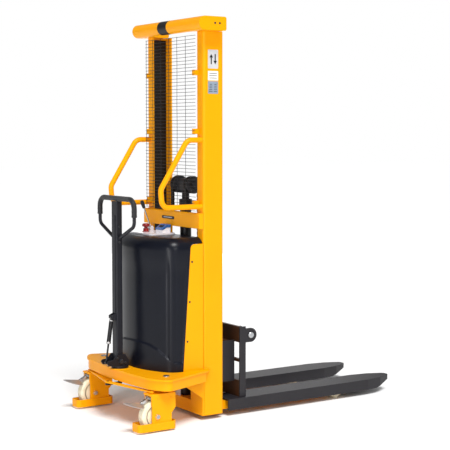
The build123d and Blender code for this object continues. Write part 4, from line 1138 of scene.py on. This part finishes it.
@dataclass
class Controls:
    """The deck's emergency stop, gauge and lift lever, and the panel screws."""

    stop: tuple[float, float] = (-103.0, 130.0)
    gauge: tuple[float, float] = (-62.0, 18.0)
    deck: float = 963.0
    lever: tuple[float, float] = (-36.0, 195.0)
    lean: float = 21.0
    panel_x: tuple[float, float] = (-167.0, -9.0)
    panel_y: tuple[float, float] = (-28.0, 245.0)
    pin_rise: float = 16.0
    side_face: float = 285.0
    stop_rise: float = 27.0
    side_screws: tuple[float, ...] = (424.0, 628.0, 834.0)
    screw_inset: float = 14.0
    deck_screws: tuple[tuple[float, ...], tuple[float, ...]] = ((-156.0, -20.0), (-14.0, 231.0))

    def build(self) -> None:
        """Makes every control."""
        self.deck_panel()
        self.stop_head()
        self.gauge_case()
        self.lever_rod()
        self.screws()

    def deck_panel(self) -> None:
        """The deck: a moulded panel with a rolled edge, and the lever's two ears and pin."""
        (x_low, x_high), (y_low, y_high) = self.panel_x, self.panel_y
        across, middle = (x_low + x_high) / 2, (y_low + y_high) / 2
        outline = rounded((x_high - x_low) / 2, (y_high - y_low) / 2, 20, 8)
        shape = Shape()
        shape.prism(
            outline, lambda u, v, d: (across + u, middle + v, d), (self.deck - 8, self.deck), 2.2
        )
        x, y = self.lever
        ear = [(-10, 0), (10, 0), (10, 16), (5, 25), (-5, 25), (-10, 16)]
        for s in (1, -1):
            shape.prism(
                ear, lambda u, v, d: (x + u, y + d, self.deck + v), tuple(sorted((s * 10.2, s * 15.8))), 1.0
            )
        pin = [(-16, 0), (-16, 5), (16, 5), (16, 0)]
        shape.lathe(pin, (x, y, self.deck + self.pin_rise), (0, 1, 0), 24)
        obj = shape.piece("deck_panel", DECK, "chassis")
        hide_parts("control_deck")

    def stop_head(self) -> None:
        """The mushroom head on its stem, and the fixed sleeve that the stem slides in."""
        x, y = self.stop
        low = self.deck + self.stop_rise
        shape = Shape()
        profile = [
            (-18, 0), (-18, 9), (-1.5, 10), (0, 15), (1.5, 19.6), (6, 21), (11, 20.4), (15, 17.5),
            (17.4, 12), (17.8, 6), (17.2, 0),
        ]
        shape.lathe(profile, (x, y, low), (0, 0, 1), 56)
        obj = shape.piece("stop_head", RED, "stop_button", 42)
        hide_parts("stop_button")
        sleeve = Shape()
        wall = [(0.2, 11), (0.2, 19), (2, 19), (3, 16), (16.5, 14.5), (18, 13.2), (18, 11), (0.2, 11)]
        sleeve.lathe(wall, (x, y, self.deck), (0, 0, 1), 48)
        obj = sleeve.piece("stop_sleeve", RED, "chassis", 42)
        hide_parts("emergency_stop_base")

    def gauge_case(self) -> None:
        """The gauge's white case, its blue lid with a sloping face, and its dark window."""
        x, y = self.gauge
        low = self.deck
        shape = Shape()
        body = [(-25, 0), (25, 0), (25, 30), (2, 30), (-25, 16)]
        shape.prism(body, lambda u, v, d: (x + u, y + d, low + v), (-34, 34), 2.0)
        obj = shape.piece("gauge_case", DECK, "chassis")
        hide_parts("battery_gauge")
        along = Vector((32, 0, 22)).normalized()
        up = Vector((-22, 0, 32)).normalized()
        middle = Vector((x - 10, y, low + 35))

        def face(u: float, v: float, d: float) -> Vector:
            """A point on the sloping face, or above it by d."""
            return middle + along * u + Vector((0, v, 0)) + up * d

        lid = Shape()
        crown = [(-26, 16), (2, 29.5), (26, 29.5), (26, 46), (6, 46), (-26, 24)]
        lid.prism(crown, lambda u, v, d: (x + u, y + d, low + v), (-36, 36), 3.0)
        lid.piece("gauge_lid", BLUE, "chassis")
        window = Shape()
        window.prism(rounded(8, 20, 1.5), face, (0.4, 1.0))
        window.piece("gauge_window", FILM_INK, "chassis")

    def lever_rod(self) -> None:
        """The lift lever: a boss on its pin, a collar above that, the rod and a tapered grip."""
        x, y = self.lever
        angle = math.radians(self.lean)
        up = Vector((-math.sin(angle), 0, math.cos(angle)))
        foot = Vector((x, y, self.deck + self.pin_rise))
        rod = Shape()
        rod.lathe([(5, 0), (5, 6.5), (14, 6), (16, 4), (120, 4), (120, 0)], foot, up, 20)
        rod.lathe([(-9, 5.1), (-9, 9), (9, 9), (9, 5.1)], foot, (0, 1, 0), 28)
        obj = rod.piece("lever_rod", ZINC, "control_lever")
        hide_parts("control_lever")
        grip = Shape()
        profile = [
            (114, 4), (114, 7.5), (117, 8.6), (126, 9.2), (140, 10.6), (149, 11), (155, 9.6), (158, 5),
            (158.3, 0),
        ]
        grip.lathe(profile, foot, up, 28)
        grip.piece("lever_grip", GRIP, "control_lever")

    def screws(self) -> None:
        """Socket screws down each side panel and in the deck's corners."""
        shape = Shape()
        hood = Hood()
        for side in Side:
            s = side.value
            for z in self.side_screws:
                x = hood.front_x(z, False) + self.screw_inset
                shape.button_head((x, s * self.side_face, z), (0, s, 0), 5.2)
        obj = shape.piece("panel_screws", CAST, "chassis")
        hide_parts("body_screws")
        shape = Shape()
        for x in self.deck_screws[0]:
            for y in self.deck_screws[1]:
                shape.button_head((x, y, self.deck), (0, 0, 1), 4.2)
        shape.piece("deck_screws", ZINC, "chassis")


# ---- tiller -----------------------------------------------------------------------------------


@dataclass
class Tiller:
    """The steering handle."""

    x: float = -350.0
    half: float = 185.0
    top: float = 1155.0
    grip_low: float = 1065.0
    corner: float = 48.0
    radius: float = 14.4
    pole_side: float = 27.4
    pole_rear: float = 17.5
    pole_bolts: tuple[float, ...] = (930.0, 1010.0)
    strip_size: tuple[float, float] = (13.0, 255.0)
    strip_z: float = 815.0
    ear_bolts: tuple[tuple[float, float, float, float, float], ...] = (
        (0.0, 41.5, 308.0, 19.0, 5.0), (25.0, 36.0, 300.0, 11.0, 4.0), (-20.0, 36.0, 327.0, 11.0, 4.0),
    )
    spring_top: tuple[float, float, float] = (-384.0, 0.0, 540.0)
    spring_foot: tuple[float, float, float] = (-418.0, 0.0, 305.0)

    def build(self) -> None:
        """Makes the grips, the pole's cover strip, the bolts and the spring's end caps."""
        self.grips()
        self.strip()
        self.bolts()
        self.spring()

    def grips(self) -> None:
        """The rubber round the loop, thicker under the fingers, with ribs at its ends."""
        shoulder, reach = self.top - self.corner, self.half - self.corner
        rise = shoulder - self.grip_low
        line = [(self.x, self.half, self.grip_low + rise * k / 12) for k in range(12)]
        line += [(self.x, y, z) for y, z in arc((reach, shoulder), self.corner, 0, 90, 10)]
        line += [(self.x, reach * (1 - k / 12), self.top) for k in range(1, 12)]
        line = line + [(self.x, 0, self.top)] + [(x, -y, z) for x, y, z in reversed(line)]
        count = len(line)

        def girth(share: float) -> float:
            """The rubber's radius along the loop.

            Args:
                share: How far along the loop, from 0 to 1.

            Returns:
                The radius.
            """
            end = min(share, 1 - share) * count
            swell = 0.35 * math.sin(end * 0.9)
            rib = 0.5 if end < 2.2 and int(end * 2) % 2 == 0 else 0.0
            return self.radius - 0.75 + swell * 0.5 + rib - 1.4 * (1 - smooth_step(end, 0, 1.2))

        shape = Shape()
        shape.tube(line, girth, 24)
        obj = shape.piece("loop_grips", GRIP, "tiller", 60)
        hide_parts("tiller_grips")

    def strip(self) -> None:
        """The raised cover strip down the pole's rear face."""
        shape = Shape()
        face = self.x - self.pole_rear
        outline = rounded(*self.strip_size, 6)
        shape.prism(outline, lambda u, v, d: (face - d, u, self.strip_z + v), (-0.5, 2.0), 0.8)
        shape.piece("pole_cover_strip", HOOD, "tiller")

    def bolts(self) -> None:
        """Bolts through the pole's head and through the turret's ears."""
        shape = Shape()
        for z in self.pole_bolts:
            for s in (1, -1):
                shape.button_head((self.x, s * self.pole_side, z), (0, s, 0), 6.5)
        shape.piece("pole_bolts", CAST, "tiller")
        shape = Shape()
        for s in (1, -1):
            for forward, out, z, across, height in self.ear_bolts:
                shape.hex_head((self.x + forward, s * out, z), (0, s, 0), across, height)
        shape.piece("turret_bolts", CAST, "turret")

    def spring(self) -> None:
        """The spring's collar and its wiper."""
        top = Vector(self.spring_top)
        along = (Vector(self.spring_foot) - top).normalized()
        shape = Shape()
        wiper = [(130, 0), (130, 11.3), (131, 12), (139, 12), (141, 9), (141, 5.3), (141, 0)]
        shape.lathe(wiper, top, along, 32)
        shape.lathe([(12, 0), (12, 7), (16, 11.4), (22, 11.4), (22, 0)], top, along, 32)
        shape.piece("spring_end_caps", PRESSED, "gas_spring_cylinder")


# ---- base and running gear --------------------------------------------------------------------


@dataclass
class RunningGear:
    """Rear wheels, their brakes, the base plate's fittings and the carriage's details."""

    pin: tuple[float, float] = (-267.0, 336.0)
    trail: float = 60.0
    radius: float = 80.0
    width: float = 50.0
    hub_bolts: int = 5
    hub_circle: float = 38.0
    cheek: float = 36.0
    rivets: tuple[tuple[float, float], ...] = ((16.0, 170.0), (-60.0, 172.0))
    coil_radius: float = 6.5
    coil_turns: int = 7
    coil_ends: tuple[float, float] = (-40.0, -74.0)
    coil_z: float = 176.0
    pedal_front: tuple[float, float, float] = (-131.0, 0.0, 151.0)
    pedal_tip: tuple[float, float, float] = (-234.6, 0.0, 164.0)
    pedal_pin: tuple[float, float] = (-86.0, 172.0)
    turret_x: float = -337.0
    plate_z: float = 269.6
    beams: tuple[tuple[float, float], ...] = ((90.0, 178.0), (382.0, 466.0))

    def build(self) -> None:
        """Makes each group."""
        for side in Side:
            self.wheel(side)
            self.brake(side)
            self.pedal(side)
        self.plate_fittings()
        self.carriage_fittings()

    def wheel(self, side: Side) -> None:
        """A tyre on its cast hub, with the bearing's face.

        Args:
            side: The side the wheel is on.
        """
        centre = (self.pin[0] - self.trail, side.value * self.pin[1], self.radius)
        axis = (0, 1, 0)
        half = self.width / 2
        tyre = Shape()
        wall = [(5, 55), (1, 57), (0, 62), (0, 72), (2, 76.5), (6, 79.2), (11, 79.9)]
        tyre.lathe(self.both_faces(wall, half), centre, axis, 72)
        obj = tyre.piece(f"tyre_{side.word}", TREAD, f"steer_wheel_{side.word}", 40)
        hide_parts(f"steer_wheel_{side.word}")
        hub = Shape()
        half -= 1
        face = [(3, 12), (3, 24), (5, 26), (9, 30), (10, 46), (4, 51), (4, 55.5)]
        hub.lathe(self.both_faces(face, half), centre, axis, 56)
        bolt = [(-2, 0), (-2, 4.4), (1.2, 4.4), (2, 3.4), (2, 0)]
        for k in range(self.hub_bolts):
            angle = 2 * math.pi * k / self.hub_bolts
            x, z = self.hub_circle * math.cos(angle), self.hub_circle * math.sin(angle)
            for s in (1, -1):
                hub.lathe(bolt, Vector(centre) + Vector((x, s * (half - 9), z)), (0, s, 0), 16)
        hub.piece(f"wheel_hub_{side.word}", TREAD, f"steer_wheel_{side.word}", 40)
        bearing = Shape()
        bearing.lathe(self.both_faces([(1, 10.3), (1, 21), (4, 22)], half), centre, axis, 40)
        bearing.piece(f"wheel_bearing_{side.word}", ZINC, f"steer_wheel_{side.word}", 40)

    @staticmethod
    def both_faces(steps: Outline, half: float) -> Outline:
        """A turned profile that is the same from either face.

        Args:
            steps: Points (depth in from the face, radius), from the bore outwards.
            half: Half the width between the faces.

        Returns:
            The whole profile, as points (distance along the axis, radius).
        """
        near = [(depth - half, radius) for depth, radius in steps]
        return near + [(half - depth, radius) for depth, radius in reversed(steps)]

    def brake(self, side: Side) -> None:
        """Axle bolts, painted rivets in the cheeks and the brake's coil spring, on the caster.

        Args:
            side: The side the caster is on.
        """
        x, y = self.pin[0] - self.trail, side.value * self.pin[1]
        shape, painted = Shape(), Shape()
        for s in (1, -1):
            shape.hex_head((x, y + s * self.cheek, self.radius), (0, s, 0), 22, 6)
            for forward, z in self.rivets:
                painted.button_head((self.pin[0] + forward, y + s * self.cheek, z), (0, s, 0), 4.5)
        shape.piece(f"caster_bolts_{side.word}", ZINC, f"caster_{side.word}")
        painted.piece(f"caster_rivets_{side.word}", YELLOW, f"caster_{side.word}")
        coil = Shape()
        steps, reach = 16, self.coil_radius
        count = self.coil_turns * steps
        start, end = self.coil_ends
        line = []
        for k in range(count + 1):
            turn = 2 * math.pi * k / steps
            forward = self.pin[0] + start + (end - start) * k / count
            line.append((forward, y + reach * math.cos(turn), self.coil_z + reach * math.sin(turn)))
        coil.tube(line, 1.5, 8)
        coil.piece(f"brake_spring_{side.word}", ZINC, f"caster_{side.word}", 80)

    def pedal(self, side: Side) -> None:
        """The pressed pedal: a leaf with drooping sides and four ribs, on its lever and pin tube.

        Args:
            side: The side the pedal is on.
        """
        x0, y0 = self.pin[0], side.value * self.pin[1]
        front, tip = Vector(self.pedal_front), Vector(self.pedal_tip)
        shape = Shape()
        rows = []
        for k in range(25):
            share = k / 24
            half = 2.5 + 28.5 * smooth_step(share, -0.35, 0.12) * (1 - share ** 1.6) ** 0.8
            line = front.lerp(tip, share) + Vector((x0, y0, 0))
            top, under = [], []
            for j in range(-8, 9):
                across = j / 8
                drop = half * abs(across) * 0.78
                ribs = 0.9 if abs(j) in (3, 6) and 2 < k < 21 else 0.0
                point = line + Vector((0, across * half, -drop))
                top.append(point + Vector((0, 0, 2.4 + ribs)))
                under.append(point)
            rows.append(top + list(reversed(under)))
        shape.loft(rows)
        obj = shape.piece(f"pedal_tread_{side.word}", PRESSED, f"brake_pedal_{side.word}", 40)
        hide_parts(f"brake_pedal_{side.word}")
        arm = Shape()
        px, pz = self.pedal_pin
        outline = [(px - 2, pz + 8), (px + 5, pz), (px + 4, pz - 8), (-127, 146), (-146, 151)]
        for s in (1, -1):
            arm.prism(outline, lambda u, v, d: (x0 + u, y0 + d, v), tuple(sorted((s * 5, s * 9))), 0.8)
        arm.lathe([(-26.5, 5.1), (-26.5, 9), (26.5, 9), (26.5, 5.1)], (x0 + px, y0, pz), (0, 1, 0), 28)
        arm.piece(f"pedal_lever_{side.word}", ZINC, f"brake_pedal_{side.word}", 40)

    def plate_fittings(self) -> None:
        """The bearing ring under the tiller, the caps over the kingpins and the rolled edge."""
        shape = Shape()
        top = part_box("base_plate")[1][2] / MM
        ring = [(0, 46), (0, 66), (1.2, 66), (2.2, 64), (2.2, 48), (1.0, 46)]
        shape.lathe(ring, (self.turret_x, 0, self.plate_z), (0, 0, 1), 72)
        shape.piece("tiller_bearing_ring", YELLOW, "chassis")
        caps = Shape()
        dome = [(-0.5, 0), (-0.5, 17), (3, 17), (5.5, 14), (6.5, 8), (6.8, 0)]
        for side in Side:
            foot = (self.pin[0] + 12, side.value * self.pin[1], self.plate_z + 0.2)
            caps.lathe(dome, foot, (0, 0, 1), 36)
        caps.piece("kingpin_caps", ZINC, "chassis")
        lip = Shape()
        lip.tube(self.plate_edge(top), 5.4, 12, looped=True)
        lip.piece("plate_rolled_edge", YELLOW, "chassis", 70)

    def plate_edge(self, top: float) -> list[Point]:
        """The line just inside the base plate's edge, read from the plate's own mesh.

        Args:
            top: The height of the plate's upper face.

        Returns:
            Points about 12 mm apart, rear of the columns.
        """
        mesh = bpy.data.objects["base_plate"].data
        flat = bmesh.new()
        for vertex in mesh.vertices:
            if abs(vertex.co.z / MM - top) < 0.2:
                x, y = (vertex.co.x - FRAME.rear_face) / MM, vertex.co.y / MM
                if x < 0.5:
                    flat.verts.new((x, y, 0))
        hull = bmesh.ops.convex_hull(flat, input=flat.verts)["geom"]
        corners = [Vector(v.co) for v in hull if isinstance(v, bmesh.types.BMVert)]
        flat.free()
        middle = Vector((-170, 0, 0))
        corners.sort(key=lambda p: math.atan2(p.y - middle.y, p.x - middle.x))
        line = []
        for a, b in zip(corners, corners[1:] + corners[:1]):
            steps = max(int((b - a).length / 12), 1)
            line += [a.lerp(b, k / steps) for k in range(steps)]
        inward = [p + (middle - p).normalized() * 4.4 for p in line]
        return [(min(p.x, -9.0), p.y, top - 5.2) for p in inward]

    def carriage_fittings(self) -> None:
        """Welds along the ends of the carriage's two crossbars."""
        shape = Shape()
        for side in Side:
            s = side.value
            for z in (height for beam in self.beams for height in beam):
                shape.weld([(264, s * 228, z), (264, s * 249, z)], 2.2)
            for low, high in self.beams:
                shape.weld([(262.5, s * 249.4, low + 2), (262.5, s * 249.4, high - 2)], 2.4)
        shape.piece("carriage_welds", CHARCOAL, "carriage", 60)


# ---- studio -----------------------------------------------------------------------------------


@dataclass
class Studio:
    """The pale floor, the soft lights and the camera."""

    camera_place: tuple[float, float, float] = (-3.7276, -5.5246, 1.4956)
    camera_turn: tuple[float, float, float] = (85.62, 0.0, -33.4)
    lens: float = 96.87
    sun_from: tuple[float, float, float] = (-0.1, -0.5, 0.86)
    sun_strength: float = 2.88
    sun_width: float = 24.0
    world_light: float = 0.3
    world_seen: float = 1.0
    floor_reach: float = 40.0
    lights: tuple[tuple[str, tuple[float, float, float], float, float], ...] = (
        ("key", (-5.6, -2.5, 2.7), 0.7, 42.0),
        ("back_box", (4.6, 6.8, 1.1), 3.0, 45.0),
        ("strip", (-4.0, -2.6, 0.85), 1.4, 40.0),
        ("side_box", (-1.2, -4.4, 2.2), 1.2, 30.0),
    )
    target: Vector = field(default_factory=lambda: Vector((0.0, 0.0, 0.9)))

    def build(self) -> None:
        """Sets the stage."""
        bpy.context.scene.view_settings.view_transform = "Standard"
        self.floor()
        self.world()
        for name, place, size, power in self.lights:
            lamp = bpy.data.lights.new(name, "AREA")
            lamp.size = size
            lamp.energy = power
            obj = bpy.data.objects.new(name, lamp)
            obj.location = place
            obj.rotation_euler = (self.target - Vector(place)).to_track_quat("-Z", "Y").to_euler()
            bpy.context.collection.objects.link(obj)
        self.sun()
        self.camera()

    def sun(self) -> None:
        """One broad, even light from high on the right."""
        lamp = bpy.data.lights.new("broad_light", "SUN")
        lamp.energy = self.sun_strength
        lamp.angle = math.radians(self.sun_width)
        obj = bpy.data.objects.new("broad_light", lamp)
        obj.rotation_euler = (-Vector(self.sun_from)).to_track_quat("-Z", "Y").to_euler()
        bpy.context.collection.objects.link(obj)

    def floor(self) -> None:
        """A wide matt floor, almost white."""
        mesh = bpy.data.meshes.new("floor")
        reach = self.floor_reach
        corners = [(-reach, -reach, 0), (reach, -reach, 0), (reach, reach, 0), (-reach, reach, 0)]
        mesh.from_pydata(corners, [], [(0, 1, 2, 3)])
        obj = bpy.data.objects.new("floor", mesh)
        material = bpy.data.materials.new("studio_floor")
        material.use_nodes = True
        tree = material.node_tree
        tree.nodes.clear()
        where = add_node(tree, "ShaderNodeTexCoord").outputs["Object"]
        grain = add_node(
            tree, "ShaderNodeTexNoise", {"Vector": where, "Scale": 60.0, "Detail": 3.0}
        ).outputs[0]
        colour = add_node(
            tree, "ShaderNodeMix", {0: grain, 6: linear("#FDFDFD"), 7: linear("#FAFAFA")}, data_type="RGBA"
        ).outputs[2]
        shader = add_node(tree, "ShaderNodeBsdfPrincipled", {"Base Color": colour, "Roughness": 0.9})
        add_node(tree, "ShaderNodeOutputMaterial", {"Surface": shader.outputs[0]})
        mesh.materials.append(material)
        bpy.context.collection.objects.link(obj)

    def world(self) -> None:
        """White surroundings, which light the object less than they show."""
        world = bpy.data.worlds.new("studio")
        world.use_nodes = True
        tree = world.node_tree
        tree.nodes.clear()
        seen = add_node(tree, "ShaderNodeLightPath").outputs["Is Camera Ray"]
        strength = add_node(
            tree, "ShaderNodeMapRange",
            {"Value": seen, "To Min": self.world_light, "To Max": self.world_seen},
        ).outputs[0]
        light = add_node(tree, "ShaderNodeBackground", {"Color": linear("#FFFFFF"), "Strength": strength})
        add_node(tree, "ShaderNodeOutputWorld", {"Surface": light.outputs[0]})
        bpy.context.scene.world = world

    def camera(self) -> None:
        """Places the camera."""
        data = bpy.data.cameras.new("camera")
        data.lens = self.lens
        data.sensor_width = 36.0
        data.clip_end = 100.0
        obj = bpy.data.objects.new("camera", data)
        obj.location = self.camera_place
        obj.rotation_euler = [math.radians(v) for v in self.camera_turn]
        bpy.context.collection.objects.link(obj)
        bpy.context.scene.camera = obj


def dress_nodes(nodes: dict[str, bpy.types.Object]) -> None:
    """Gives every kept CAD node its finish.

    Args:
        nodes: The frame's objects by node name.
    """
    for finish, names in NODE_FINISHES.items():
        material = finish.build()
        for name in names:
            obj = nodes[name]
            for slot in obj.material_slots:
                slot.material = material
            if not obj.material_slots:
                obj.data.materials.append(material)
            log.info("node %s: %s", name, finish.name)


def main() -> None:
    """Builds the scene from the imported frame."""
    logging.basicConfig(level=logging.INFO, format="%(name)s: %(message)s")
    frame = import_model()
    FRAME.read()
    Studio().build()
    dress_nodes(frame["nodes"])
    for part in (Mast(), Guard(), Chains(), Hood(), Controls(), Tiller(), RunningGear()):
        part.build()


if __name__ == "__main__":
    main()
